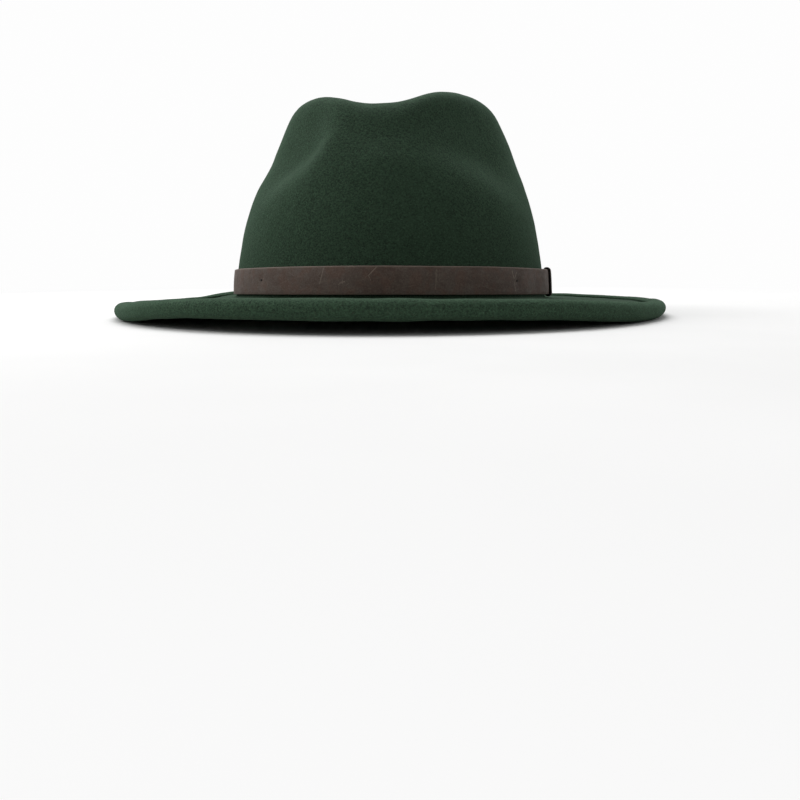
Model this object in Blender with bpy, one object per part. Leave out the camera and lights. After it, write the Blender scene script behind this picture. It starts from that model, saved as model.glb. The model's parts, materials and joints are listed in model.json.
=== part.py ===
"""A soft wool-felt fedora: creased crown and rolled-edge brim in one piece of felt, a narrow
leather hatband closed by a sliding keeper loop, and a leather sweatband with its reed, tape,
stitching and back bow.

Sizes are millimetres in the hat's own datum: z = 0 at the break between crown and brim, front
towards -Y. Angles round the hat (phi) run from the front, positive towards +X. When a mesh is
made, its points are tilted so that the hat rests on its brim at z = 0, and scaled to metres."""
import math

import bpy
import bmesh
import numpy as np
from mathutils import Matrix, Vector

for scene_object in list(bpy.data.objects):
    bpy.data.objects.remove(scene_object, do_unlink=True)

# ---------------------------------------------------------------- felt sizes
FELT_T = 2.3                            # felt thickness

# open crown before creasing: a wall that draws in upwards, then a rounded tip
BASE_A, BASE_B = 86.0, 102.8            # head oval half width and half length
BASE_H = 2.0                            # height where the wall starts
SHOULDER_H = 83.5                       # height at which the wall turns into the tip
TIP_H = 108.0
DRAW_A, DRAW_B = 21.0, 22.0             # draw-in at the shoulder, sides and front/back
DRAW_POW_A, DRAW_POW_B = 1.70, 1.38     # how late up the wall the draw-in comes
TIP_STEPS, WALL_STEPS = 6, 7
TIP_SPACING = 0.85                      # power that spaces the tip stations
TIP_POW = 6.4                           # squareness of the tip
TIP_LONG = 0.65                         # how the tip's front/back follows its sides

# unevenness of the open crown; each ramp is (start, span), downwards if the span is negative
WIDE_TOP, WIDE_TOP_RAMP = 0.030, (70.0, 35.0)          # +X half widened near the top
NARROW_LOW, NARROW_LOW_RAMP = 0.006, (60.0, -40.0)     # +X half narrowed low down
RISE_RIGHT = 0.5                        # +X side of the top raised
RISE_RIGHT_X, RISE_RIGHT_H = (5.0, 50.0), (55.0, 50.0)
RISE_BACK = -3.0                        # back of the top lowered
RISE_BACK_Y, RISE_BACK_H = (-40.0, 110.0), (45.0, 60.0)

# Hollows pressed into the crown, in order: front on the -X side, front on the +X side, and
# along the -X side. "axis" runs from the upper front end down and back; "front" and "length"
# are the reaches from the centre each way along it. "low" and "high" scale the falloff below
# and above the axis, and "bend" curves the front part upwards.
HOLLOWS = (
    dict(centre=(-53.0, -62.0, 77.0), axis=(-1.0, 1.23, -0.68), front=22.5, length=30.0,
         width=18.5, depth=8.5, low=1.15, high=0.66, bend=0.45),
    dict(centre=(48.0, -66.0, 80.0), axis=(1.0, 1.16, -0.43), front=34.0, length=34.0,
         width=23.0, depth=9.6, low=1.15, high=0.70, bend=0.0),
    dict(centre=(-68.0, -18.0, 77.0), axis=(-0.25, 1.0, -0.15), front=34.0, length=34.0,
         width=21.0, depth=3.5, low=1.15, high=0.8, bend=0.0),
)
HOLLOW_OVAL_A, HOLLOW_OVAL_B = 60.0, 85.0   # oval that sets the pressing direction
HOLLOW_OUT_Z = 0.006                        # upward share of that direction
HOLLOW_REACH = 30.0                         # reach through the felt
HOLLOW_POW_ALONG, HOLLOW_POW_ACROSS, HOLLOW_POW_THROUGH = 2.4, 2.2, 3

# lengthwise dent in the top
DENT_DEPTH = 26.5
DENT_X = -4.3
DENT_W = 27.5
DENT_POW = 2.6                          # squareness across
DENT_LENGTH, DENT_FADE = 62.0, 0.95     # length scale, and rate at which the depth fades
DENT_FRONT, DENT_BACK = 0.43, 0.40      # share of the depth left at each end
DENT_NARROW = 0.18                      # narrowing towards the front
DENT_RAMP = (58.0, 34.0)                # heights over which the dent comes in

# brim
FILLET = 2.0                            # radius of the break between crown and brim
BRIM_A, BRIM_B = 149.5, 166.0           # outline half width and half length
BRIM_POW = 1.6                          # how soon the brim reaches its outer height
CURL_R = 2.3                            # inside half width of the curled edge
CURL_ARC = math.radians(235)            # how far the edge curls over onto the brim
CURL_STAND = 1.7                        # height of the curl above the brim beside it
CURL_A = BRIM_A - FELT_T - CURL_R       # oval through the middle of the curl
CURL_B = BRIM_B - FELT_T - CURL_R
DIP = 6.6                               # width of the dip that runs in under the curl
DIP_START_OUT, DIP_START_DOWN = 1.9, 0.3    # curve handle at the brim end of the dip
DIP_END_IN = 2.6                            # curve handle at the curl end
RIM_ROUND = 0.9                         # rounding beyond the cut edge of the felt

# Heights of the felt edge: (phi in degrees, height from a datum EDGE_DATUM above the break)
EDGE_DATUM = 3.8
CREST = (
    (-165, 1.6), (-150, 1.6), (-137, 0.6), (-128, -1.4), (-119, -4.2), (-105, -5.7), (-90, -6.3),
    (-75, -6.5), (-61, -6.0), (-50, -4.9), (-38, -3.8), (-22, -3.1), (0, -3.2), (18, -3.4),
    (30, -3.8), (38, -4.3), (49, -5.2), (60, -5.4), (74, -4.9), (84, -4.5), (97, -3.9),
    (114, -2.9), (130, -1.9), (155, -0.2), (180, 1.0))
UNDER = (
    (-150, -7.7), (-135, -8.8), (-120, -9.9), (-105, -11.1), (-90, -12.4), (-76, -14.0),
    (-64, -15.1), (-54, -14.3), (-44, -12.6), (-32, -11.8), (-15, -12.0), (0, -12.1),
    (15, -12.0), (30, -12.5), (45, -14.0), (58, -14.3), (72, -13.0), (90, -10.9),
    (120, -8.8), (150, -7.6), (180, -7.7))

# felt mesh
COLUMNS = 60
CROWN_ROWS, BREAK_ROWS, BRIM_ROWS = 15, 3, 4
DIP_ROWS = (0.45, 0.85)
CURL_ROWS = (0.12, 0.27, 0.44, 0.62, 0.81, 1.0)

# resting pose
TILT_X = math.radians(1.66)             # the front of the band sits higher than its back
TILT_Y = math.radians(0.28)             # the +X side sits lower


# ---------------------------------------------------------------- curves
def smooth01(x):
    x = np.clip(x, 0, 1)
    return x * x * (3 - 2 * x)


def ramp(value, start, span):
    """Smooth step from 0 at start to 1 at start + span."""
    return smooth01((value - start) / span)


def bezier(start, handle_1, handle_2, end, t):
    s = 1 - t
    return start * s**3 + 3 * s * s * t * handle_1 + 3 * s * t * t * handle_2 + end * t**3


def periodic(table, phi):
    """Smooth closed curve through (degrees, value) pairs in rising order."""
    angle, value = np.array(table, float).T
    angle = np.concatenate([angle[-2:] - 360, angle, angle[:3] + 360])
    value = np.concatenate([value[-2:], value, value[:3]])
    slope = np.zeros_like(value)
    slope[1:-1] = (value[2:] - value[:-2]) / (angle[2:] - angle[:-2])
    degrees = (np.degrees(phi) + 180.0) % 360.0 - 180.0
    i = np.clip(np.searchsorted(angle, degrees, side="right") - 1, 1, len(angle) - 3)
    step = angle[i + 1] - angle[i]
    t = (degrees - angle[i]) / step
    return ((2*t**3 - 3*t**2 + 1) * value[i] + (t**3 - 2*t**2 + t) * step * slope[i]
            + (-2*t**3 + 3*t**2) * value[i + 1] + (t**3 - t**2) * step * slope[i + 1])


def catmull(stations, t):
    """Catmull-Rom curve through crown stations, t from 0 to len - 1."""
    points = np.array(stations, float)
    mirrored = points[1] * (-1, -1, 1)      # mirrored over the pole keeps the top smooth
    points = np.vstack([mirrored, points, 2 * points[-1] - points[-2]])
    i = min(int(t), len(stations) - 2)
    t = t - i
    before, start, end, after = points[i:i + 4]
    return 0.5 * (2*start + (end - before) * t + (2*before - 5*start + 4*end - after) * t*t
                  + (3*start - before - 3*end + after) * t**3)


def circle_centre(first, middle, last):
    """Centre, at z = 0, of the circle through three points seen from above."""
    x1, y1 = first[:2]
    x2, y2 = middle[:2]
    x3, y3 = last[:2]
    sq1, sq2, sq3 = x1*x1 + y1*y1, x2*x2 + y2*y2, x3*x3 + y3*y3
    scale = 2 * (x1 * (y2 - y3) + x2 * (y3 - y1) + x3 * (y1 - y2))
    x = (sq1 * (y2 - y3) + sq2 * (y3 - y1) + sq3 * (y1 - y2)) / scale
    y = (sq1 * (x3 - x2) + sq2 * (x1 - x3) + sq3 * (x2 - x1)) / scale
    return np.array([x, y, 0.0])


# ---------------------------------------------------------------- crown
def crown_levels():
    """Stations of the open crown, tip first: (side half width, front/back half length, height)."""
    shoulder_a, shoulder_b = BASE_A - DRAW_A, BASE_B - DRAW_B
    levels = []
    for k in range(TIP_STEPS + 1):
        spread = (k / TIP_STEPS) ** TIP_SPACING
        levels.append((shoulder_a * spread, shoulder_b * spread ** TIP_LONG,
                       SHOULDER_H + (TIP_H - SHOULDER_H) * (1 - spread ** TIP_POW)))
    for k in range(1, WALL_STEPS + 1):
        up = 1 - k / WALL_STEPS
        levels.append((BASE_A - DRAW_A * up ** DRAW_POW_A, BASE_B - DRAW_B * up ** DRAW_POW_B,
                       BASE_H + (SHOULDER_H - BASE_H) * up))
    return levels


CROWN_LEVELS = crown_levels()
LAST_LEVEL = len(CROWN_LEVELS) - 1


def crown_row(t, phi):
    """Open crown, before creasing."""
    half_width, half_length, height = catmull(CROWN_LEVELS, t)
    widening = (1 + WIDE_TOP * ramp(height, *WIDE_TOP_RAMP)
                - NARROW_LOW * ramp(height, *NARROW_LOW_RAMP))
    x = half_width * np.sin(phi) * np.where(np.sin(phi) > 0, widening, 1.0)
    y = -half_length * np.cos(phi)
    lift = (RISE_RIGHT * ramp(x, *RISE_RIGHT_X) * ramp(height, *RISE_RIGHT_H)
            + RISE_BACK * ramp(y, *RISE_BACK_Y) * ramp(height, *RISE_BACK_H))
    return np.stack([x, y, height + lift], -1)


def press_hollow(points, hollow):
    centre = np.array(hollow["centre"])
    axis = np.array(hollow["axis"])
    axis = axis / np.linalg.norm(axis)
    out = np.array([centre[0] / HOLLOW_OVAL_A**2, centre[1] / HOLLOW_OVAL_B**2, HOLLOW_OUT_Z])
    out /= np.linalg.norm(out)
    side = np.cross(axis, out)
    side /= np.linalg.norm(side)
    if side[2] < 0:
        side = -side
    offset = points - centre
    along = offset @ axis
    along = np.where(along < 0, along / hollow["front"], along / hollow["length"])
    across = offset @ side / hollow["width"] - hollow["bend"] * np.minimum(along, 0.0) ** 2
    across = np.where(across < 0, across * hollow["low"], across * hollow["high"])
    through = offset @ out / HOLLOW_REACH
    falloff = np.exp(-np.abs(along) ** HOLLOW_POW_ALONG - np.abs(across) ** HOLLOW_POW_ACROSS
                     - np.abs(through) ** HOLLOW_POW_THROUGH)
    return points - (hollow["depth"] * falloff)[..., None] * out


def press_dent(points):
    x, y, z = points[..., 0], points[..., 1], points[..., 2]
    back = y / DENT_LENGTH
    along = np.where(back < 0, 1 - (1 - DENT_FRONT) * smooth01(-back * DENT_FADE),
                     1 - (1 - DENT_BACK) * smooth01(back * DENT_FADE))
    width = DENT_W * (1 - DENT_NARROW * smooth01(-back))
    across = np.exp(-np.abs((x - DENT_X) / width) ** DENT_POW)
    return np.stack([x, y, z - DENT_DEPTH * along * across * ramp(z, *DENT_RAMP)], -1)


def creased_row(t, phi):
    points = crown_row(t, phi)
    for hollow in HOLLOWS:
        points = press_hollow(points, hollow)
    return press_dent(points)


# ---------------------------------------------------------------- brim
def brim_row(part, f, phi):
    """Row on the top face, a fraction f of the way out through one part of the brim."""
    top = periodic(CREST, phi) + EDGE_DATUM
    low = periodic(UNDER, phi) + EDGE_DATUM
    middle = (top + low) / 2
    curl_half_height = (top - low) / 2 - FELT_T
    beside = top - CURL_STAND
    if part == "fillet":
        angle = f * math.pi / 2
        off = FILLET * (1 - math.cos(angle))
        a, b = BASE_A + off, BASE_B + off
        z = np.full_like(phi, BASE_H - FILLET * math.sin(angle))
    elif part == "flat":
        start_a, start_b = BASE_A + FILLET, BASE_B + FILLET
        a = start_a + (CURL_A - DIP - start_a) * f
        b = start_b + (CURL_B - DIP - start_b) * f
        z = beside * (1 - (1 - f) ** BRIM_POW)
    elif part == "dip":
        # from the brim down to the bottom of the curl
        off = bezier(-DIP, -DIP + DIP_START_OUT, -DIP_END_IN, 0.0, f)
        a, b = CURL_A + off, CURL_B + off
        bottom = middle - curl_half_height
        z = bezier(beside, beside - DIP_START_DOWN, bottom, bottom, f)
    else:
        angle = f * CURL_ARC
        off = CURL_R * math.sin(angle)
        a, b = CURL_A + off, CURL_B + off
        z = middle - curl_half_height * math.cos(angle)
    return np.stack([a * np.sin(phi), -b * np.cos(phi), z], -1)


# ---------------------------------------------------------------- felt body
NORMAL_PHI_STEP = 0.004                 # finite steps used for the felt's normals
NORMAL_CROWN_STEP, NORMAL_BRIM_STEP = 0.05, 0.02


def felt_rows():
    """(part, place along it) for every row, from the tip to the edge of the curl."""
    rows = [("crown", LAST_LEVEL * i / CROWN_ROWS) for i in range(1, CROWN_ROWS + 1)]
    rows += [("fillet", i / BREAK_ROWS) for i in range(1, BREAK_ROWS + 1)]
    rows += [("flat", i / BRIM_ROWS) for i in range(1, BRIM_ROWS + 1)]
    rows += [("dip", f) for f in DIP_ROWS]
    return rows + [("curl", f) for f in CURL_ROWS]


def felt_grid(rows, phi):
    return np.array([creased_row(f, phi) if part == "crown" else brim_row(part, f, phi)
                     for part, f in rows])


def felt_mesh():
    """Points and faces of the felt: top face, rounded edge, and underside offset inwards."""
    phi = np.linspace(-math.pi, math.pi, COLUMNS, endpoint=False)
    rows = felt_rows()
    rows_before = [(part, f - (NORMAL_CROWN_STEP if part == "crown" else NORMAL_BRIM_STEP))
                   for part, f in rows]
    top = felt_grid(rows, phi)
    around = felt_grid(rows, phi + NORMAL_PHI_STEP) - felt_grid(rows, phi - NORMAL_PHI_STEP)
    normal = np.cross(top - felt_grid(rows_before, phi), around)
    normal /= np.linalg.norm(normal, axis=-1, keepdims=True)
    under = top - normal * FELT_T
    outward = top[-1] - top[-2]
    outward /= np.linalg.norm(outward, axis=-1, keepdims=True)
    rim = (top[-1] + under[-1]) / 2 + outward * RIM_ROUND
    rings = [*top, rim, *under[::-1]]
    pole = creased_row(0.0, np.array([0.0]))
    verts = np.concatenate([pole, pole - (0, 0, FELT_T), *rings])

    faces = []
    last = 2 + (len(rings) - 1) * COLUMNS
    for k in range(COLUMNS):
        following = (k + 1) % COLUMNS
        faces.append((0, 2 + k, 2 + following))
        faces.append((1, last + following, last + k))
    for i in range(len(rings) - 1):
        ring, outer = 2 + i * COLUMNS, 2 + (i + 1) * COLUMNS
        for k in range(COLUMNS):
            following = (k + 1) % COLUMNS
            faces.append((ring + k, outer + k, outer + following, ring + following))
    return verts, faces


# ---------------------------------------------------------------- resting pose
felt_verts, felt_faces = felt_mesh()
REST = np.array(Matrix.Rotation(TILT_Y, 3, 'Y') @ Matrix.Rotation(-TILT_X, 3, 'X'))
DROP = float((felt_verts @ REST.T)[:, 2].min())


def to_world(points):
    """Hat datum in millimetres to the resting pose in metres."""
    posed = np.asarray(points, float) @ REST.T
    posed[..., 2] -= DROP
    return posed / 1000.0


# ---------------------------------------------------------------- mesh helpers
SHARP_ANGLE = math.radians(40)


def material(name, colour, roughness):
    mat = bpy.data.materials.new(name)
    mat.use_nodes = True
    shader = mat.node_tree.nodes["Principled BSDF"]
    shader.inputs["Base Color"].default_value = (*colour, 1.0)
    shader.inputs["Roughness"].default_value = roughness
    return mat


def add(name, points, faces, mat, origin=None, smooth=True):
    """A mesh object from points in the hat datum; the origin is a datum point or the world's."""
    location = Vector() if origin is None else Vector(to_world(origin))
    mesh = bpy.data.meshes.new(name)
    mesh.from_pydata([Vector(v) - location for v in to_world(points)], [], faces)
    bm = bmesh.new()
    bm.from_mesh(mesh)
    bmesh.ops.recalc_face_normals(bm, faces=bm.faces)
    if bm.calc_volume(signed=True) < 0:
        bmesh.ops.reverse_faces(bm, faces=bm.faces)
    bmesh.ops.triangulate(bm, faces=bm.faces)
    bm.to_mesh(mesh)
    bm.free()
    if smooth:
        mesh.shade_smooth()
        mesh.set_sharp_from_angle(angle=SHARP_ANGLE)
    mesh.materials.append(mat)
    obj = bpy.data.objects.new(name, mesh)
    obj.location = location
    bpy.context.scene.collection.objects.link(obj)
    return obj


def sweep(sections, closed=False):
    """Joins equal rings of points; open paths get end caps."""
    n, m = len(sections), len(sections[0])
    points = [point for section in sections for point in section]
    faces = []
    for i in range(n if closed else n - 1):
        j = (i + 1) % n
        for k in range(m):
            following = (k + 1) % m
            faces.append((i * m + k, i * m + following, j * m + following, j * m + k))
    if not closed:
        faces.append(tuple(range(m - 1, -1, -1)))
        faces.append(tuple((n - 1) * m + k for k in range(m)))
    return points, faces


def add_sweep(name, sections, mat, closed=False):
    return add(name, *sweep(sections, closed), mat)


def tube(path, radius, sides, closed=False):
    """Sections of a round thread along a path of points."""
    n = len(path)
    sections = []
    for i, point in enumerate(path):
        before = path[(i - 1) % n] if closed or i > 0 else point
        after = path[(i + 1) % n] if closed or i < n - 1 else point
        tangent = (after - before) / np.linalg.norm(after - before)
        level = np.cross(tangent, [0.0, 0.0, 1.0])
        level /= np.linalg.norm(level)
        cross = np.cross(level, tangent)
        sections.append([point + radius * (math.cos(angle) * level + math.sin(angle) * cross)
                         for angle in np.linspace(0, 2 * math.pi, sides, endpoint=False)])
    return sections


# ---------------------------------------------------------------- fitting pieces to the wall
LEVEL_T = np.linspace(0.0, LAST_LEVEL, 1300)
LEVEL_H = np.array([catmull(CROWN_LEVELS, t)[2] for t in LEVEL_T])
WALL_PHI_STEP = 1e-3


def wall(h, phi):
    """A point on the outside of the felt wall; below BASE_H the wall runs straight down."""
    t = float(np.interp(-max(h, BASE_H), -LEVEL_H, LEVEL_T))
    point = crown_row(t, phi)
    point[2] = h
    return point


def wall_out(h, phi):
    """Horizontal unit vector pointing out of the wall."""
    tangent = wall(h, phi + WALL_PHI_STEP) - wall(h, phi - WALL_PHI_STEP)
    out = np.array([tangent[1], -tangent[0], 0.0])
    return out / np.linalg.norm(out)


def off_wall(h, phi, out):
    return wall(h, phi) + wall_out(h, phi) * out


def wall_section(phi, outline):
    """Section at one angle from (distance out from the wall, height) pairs."""
    return [off_wall(h, phi, out) for out, h in outline]


# ---------------------------------------------------------------- materials
felt_mat = material("wool_felt", colour=(0.025, 0.056, 0.035), roughness=0.95)
leather_mat = material("hatband_leather", colour=(0.047, 0.034, 0.028), roughness=0.62)
keeper_mat = material("keeper_leather", colour=(0.040, 0.028, 0.023), roughness=0.60)
sweat_mat = material("sweatband_leather", colour=(0.10, 0.060, 0.035), roughness=0.60)
reed_mat = material("reed_plastic", colour=(0.60, 0.58, 0.52), roughness=0.40)
tape_mat = material("reed_tape", colour=(0.030, 0.028, 0.026), roughness=0.90)
thread_mat = material("thread", colour=(0.045, 0.035, 0.030), roughness=0.85)
bow_mat = material("bow_ribbon", colour=(0.035, 0.030, 0.028), roughness=0.80)

felt = add("felt_body", felt_verts, felt_faces, felt_mat)

# ---------------------------------------------------------------- leather hatband
BAND_LOW, BAND_HIGH = 1.6, 14.8         # heights above the break
BAND_MID = BAND_LOW + (BAND_HIGH - BAND_LOW) * 0.45
BAND_T = 1.4
BAND_GAP = 0.4                          # between the felt and the band
BAND_LIFT = 1.8                         # extra stand-off where the keeper passes behind the band
LIFT_RAMP = (15.0, 22.0)                # distance from the keeper where the lift fades, and over
LIFT_RADIUS = 105.0                     # turns angles into those distances
BAND_END = 0.5 / 117.0                  # half the angle between the band's two ends
BAND_SECTIONS = 92
KEEPER_PHI = math.radians(77.0)         # the band's ends meet inside the keeper


def band_lift(phi):
    turn = abs((phi - KEEPER_PHI + math.pi) % (2 * math.pi) - math.pi)
    return BAND_LIFT * (1 - ramp(turn * LIFT_RADIUS, *LIFT_RAMP))


def band_section(phi):
    inner = BAND_GAP + band_lift(phi)
    outer = inner + BAND_T
    return wall_section(phi, ((inner, BAND_LOW), (outer, BAND_LOW), (outer, BAND_MID),
                              (outer, BAND_HIGH), (inner, BAND_HIGH), (inner, BAND_MID)))


band_angles = np.linspace(KEEPER_PHI + BAND_END, KEEPER_PHI + 2 * math.pi - BAND_END,
                          BAND_SECTIONS)
band = add_sweep("leather_hatband", [band_section(phi) for phi in band_angles], leather_mat)

# ---------------------------------------------------------------- keeper loop round the band
KEEPER_W = 13.0                         # along the band
KEEPER_T = 1.0
KEEPER_GAP = 0.35
KEEPER_SECTIONS = 7
ARC_H = BAND_LOW + 6.0                  # the band's curve is taken from three points at this
ARC_STEP = 0.08                         # height, this angle apart
# Corners: level (0 low, 1 middle, 2 high), face of the opening (0 inner, 1 outer), then
# distance out and up from the opening in keeper thicknesses
KEEPER_HOLE = ((0, 0, 0, 0), (0, 1, 0, 0), (1, 1, 0, 0), (2, 1, 0, 0), (2, 0, 0, 0), (1, 0, 0, 0))
KEEPER_SKIN = ((0, 0, -0.6, -0.6), (0, 1, 0.45, -0.6), (0, 1, 1, -0.35), (1, 1, 1, 0),
               (2, 1, 1, 0.35), (2, 1, 0.45, 0.9), (2, 0, -0.8, 0.9), (1, 0, -0.8, 0))
# End faces between the hole's corners (0 to 5) and the skin's (6 to 13)
KEEPER_CAP = ((0, 1, 7, 6), (1, 8, 7), (1, 2, 9, 8), (2, 3, 10, 9),
              (3, 11, 10), (3, 4, 12, 11), (4, 5, 13, 12), (5, 0, 6, 13))


def keeper_sections(centre, middle):
    """Sections turned about the centre of the band's curve."""
    heights = (BAND_LOW - KEEPER_GAP, BAND_MID, BAND_HIGH + KEEPER_GAP)
    radii = []
    for h in heights:
        point = wall(h, KEEPER_PHI)
        radii.append(math.hypot(point[0] - centre[0], point[1] - centre[1]))
    inner = BAND_GAP + BAND_LIFT
    faces_out = (inner - KEEPER_GAP, inner + BAND_T + KEEPER_GAP)
    profile = [(radii[level] + faces_out[face] + KEEPER_T * out, heights[level] + KEEPER_T * up)
               for level, face, out, up in KEEPER_HOLE + KEEPER_SKIN]
    direction = math.atan2(middle[1] - centre[1], middle[0] - centre[0])
    half_turn = KEEPER_W / 2 / (radii[0] + faces_out[1])
    sections = []
    for i in range(KEEPER_SECTIONS):
        angle = direction + half_turn * (2 * i / (KEEPER_SECTIONS - 1) - 1)
        sections.append([(centre[0] + r * math.cos(angle), centre[1] + r * math.sin(angle), h)
                         for r, h in profile])
    return sections


def keeper_faces():
    hole, skin = len(KEEPER_HOLE), len(KEEPER_SKIN)
    size = hole + skin
    faces = []
    for i in range(KEEPER_SECTIONS - 1):
        a, b = i * size, (i + 1) * size
        for k in range(hole):
            following = (k + 1) % hole
            faces.append((a + k, a + following, b + following, b + k))
        a, b = a + hole, b + hole
        for k in range(skin):
            following = (k + 1) % skin
            faces.append((a + k, b + k, b + following, a + following))
    last = (KEEPER_SECTIONS - 1) * size
    faces += KEEPER_CAP
    faces += [tuple(last + k for k in reversed(face)) for face in KEEPER_CAP]
    return faces


def add_keeper():
    arc = [wall(ARC_H, KEEPER_PHI + turn) for turn in (-ARC_STEP, 0.0, ARC_STEP)]
    centre = circle_centre(*arc)
    points = [point for section in keeper_sections(centre, arc[1]) for point in section]
    add("band_keeper_loop", points, keeper_faces(), keeper_mat,
        origin=(centre[0], centre[1], (BAND_LOW + BAND_HIGH) / 2))


add_keeper()

# ---------------------------------------------------------------- tacks sewing band to felt
# name, degrees from the front, height above the break
TACKS = (("band_tack_front_left", -46.0, 8.6), ("band_tack_front_right", 46.3, 8.2),
         ("band_tack_back_left", -134.0, 8.6), ("band_tack_back_right", 135.0, 8.6))
SLOT_W, SLOT_H = 2.4, 1.4               # slot left for each tack, along and up
SLOT_OVER = 2.0                         # how far the slot cutter passes the leather and felt
LEG_W, LEG_H = SLOT_W - 0.6, SLOT_H - 0.7
BAR_W, BAR_H = SLOT_W + 1.6, SLOT_H + 0.2
BAND_FACE = BAND_GAP + BAND_T
# One stitch: a bar outside, a leg through leather and felt, a small knot inside.
# Columns: width, height, distance out from the wall
TACK_RINGS = (
    (BAR_W * 0.8, BAR_H * 0.7, BAND_FACE + 0.95), (BAR_W, BAR_H, BAND_FACE + 0.65),
    (BAR_W, BAR_H, BAND_FACE + 0.3), (LEG_W, LEG_H, BAND_FACE + 0.3),
    (LEG_W, LEG_H, -FELT_T - 0.3), (BAR_W, BAR_H, -FELT_T - 0.3), (BAR_W, BAR_H, -FELT_T - 0.68))
SLOT_RINGS = ((SLOT_W, SLOT_H, -FELT_T - SLOT_OVER), (SLOT_W, SLOT_H, BAND_FACE + SLOT_OVER))
CORNERS = ((-1, -1), (1, -1), (1, 1), (-1, 1))


def tack_sections(degrees, h, rings):
    """Rectangles square to the sloping wall."""
    phi = math.radians(degrees)
    centre = wall(h, phi)
    up = wall(h + 2, phi) - wall(h - 2, phi)
    up /= np.linalg.norm(up)
    side = np.cross(wall_out(h, phi), up)
    side /= np.linalg.norm(side)
    out = np.cross(up, side)
    return [[centre + out * distance + side * (i * width / 2) + up * (j * height / 2)
             for i, j in CORNERS] for width, height, distance in rings]


def cut_tack_slots():
    points, faces = [], []
    for _, degrees, h in TACKS:
        slot_points, slot_faces = sweep(tack_sections(degrees, h, SLOT_RINGS))
        faces += [tuple(i + len(points) for i in face) for face in slot_faces]
        points += slot_points
    cutter = add("tack_slots", points, faces, thread_mat, smooth=False)
    cutter.hide_render = True
    cutter.display_type = 'WIRE'
    for obj in (felt, band):
        cut = obj.modifiers.new("tack_slots", 'BOOLEAN')
        cut.operation = 'DIFFERENCE'
        cut.solver = 'EXACT'
        cut.object = cutter


for tack_name, tack_degrees, tack_h in TACKS:
    add_sweep(tack_name, tack_sections(tack_degrees, tack_h, TACK_RINGS), thread_mat)
cut_tack_slots()

# ---------------------------------------------------------------- sweatband
SWEAT_GAP, SWEAT_T = 1.0, 0.9
SWEAT_LEVELS = (-4.4, 3.5, 8.0, 15.0, 24.0, 33.0)
SWEAT_OUT = -FELT_T - SWEAT_GAP         # outer face, from the outside of the wall
SWEAT_IN = SWEAT_OUT - SWEAT_T          # inner face
SWEAT_SEAM = 0.35 / 100.0               # half the angle of the back seam
sweat_outline = ([(SWEAT_OUT, h) for h in SWEAT_LEVELS]
                 + [(SWEAT_IN, h) for h in reversed(SWEAT_LEVELS)])
sweat_angles = np.linspace(-math.pi + SWEAT_SEAM, math.pi - SWEAT_SEAM, 54)
add_sweep("sweatband", [wall_section(phi, sweat_outline) for phi in sweat_angles], sweat_mat)

# ---------------------------------------------------------------- reed and its tape
REED_OUT, REED_H = -2.0, -2.9           # centre: out from the wall, up from the break
REED_R = 0.9
REED_SIDES = 6
TAPE_T = 0.4
TAPE_GAP = 0.32                         # between reed and tape
TAPE_FLANGE_GAP = 0.3                   # between sweatband and the tape's flat flange
TAPE_TOP = 6.5
TAPE_ANGLES = (118, 62, 0, -62, -118)   # degrees round the reed, 0 pointing outwards


def reed_arc(radius, angles):
    return [(REED_OUT + radius * math.cos(a), REED_H + radius * math.sin(a)) for a in angles]


def add_hoop(name, outline, sections, mat):
    """A closed ring of one outline round the inside of the hat."""
    angles = np.linspace(-math.pi, math.pi, sections, endpoint=False)
    add_sweep(name, [wall_section(phi, outline) for phi in angles], mat, closed=True)


def tape_outline():
    """Wraps the reed from outside, open towards the sweatband, with a flange rising beside it."""
    flange_in = SWEAT_OUT + TAPE_FLANGE_GAP
    flange_out = flange_in + TAPE_T
    radius = REED_R + TAPE_GAP
    angles = [math.radians(a) for a in TAPE_ANGLES]
    inner = [(flange_in, TAPE_TOP)] + reed_arc(radius, angles)
    outer = [(flange_out, TAPE_TOP)]
    outer += [(max(out, flange_out), h) for out, h in reed_arc(radius + TAPE_T, angles)]
    return inner + outer[::-1]


reed_angles = np.linspace(0, 2 * math.pi, REED_SIDES, endpoint=False)
add_hoop("sweatband_reed", reed_arc(REED_R, reed_angles), 56, reed_mat)
add_hoop("reed_tape", tape_outline(), 50, tape_mat)

# ---------------------------------------------------------------- sweatband threads
THREAD_STAND = 0.62                     # thread centre off the sweatband's inner face
STITCH_STAND = 0.80                     # the same at every other point of the running stitch
STITCH_H, STITCH_POINTS, STITCH_R = 2.6, 96, 0.28
ZIGZAG_LOW, ZIGZAG_PITCH, ZIGZAG_POINTS = 12.5, 1.7, 11
ZIGZAG_TURN = 1.7 / 100.0               # half width as an angle
ZIGZAG_R = 0.26


def add_running_stitch():
    """Runs along the foot of the sweatband, just inside it."""
    path = []
    for i in range(STITCH_POINTS):
        phi = -math.pi + 2 * math.pi * i / STITCH_POINTS
        stand = THREAD_STAND if i % 2 else STITCH_STAND
        path.append(off_wall(STITCH_H, phi, SWEAT_IN - stand))
    add_sweep("sweatband_stitching", tube(path, STITCH_R, 3, closed=True), thread_mat, closed=True)


def add_seam_zigzag():
    """Closes the back seam of the sweatband."""
    path = []
    for i in range(ZIGZAG_POINTS):
        turn = ZIGZAG_TURN if i % 2 else -ZIGZAG_TURN
        path.append(off_wall(ZIGZAG_LOW + i * ZIGZAG_PITCH, math.pi - turn,
                             SWEAT_IN - THREAD_STAND))
    add_sweep("back_seam_thread", tube(path, ZIGZAG_R, 5), thread_mat)


add_running_stitch()
add_seam_zigzag()

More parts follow.
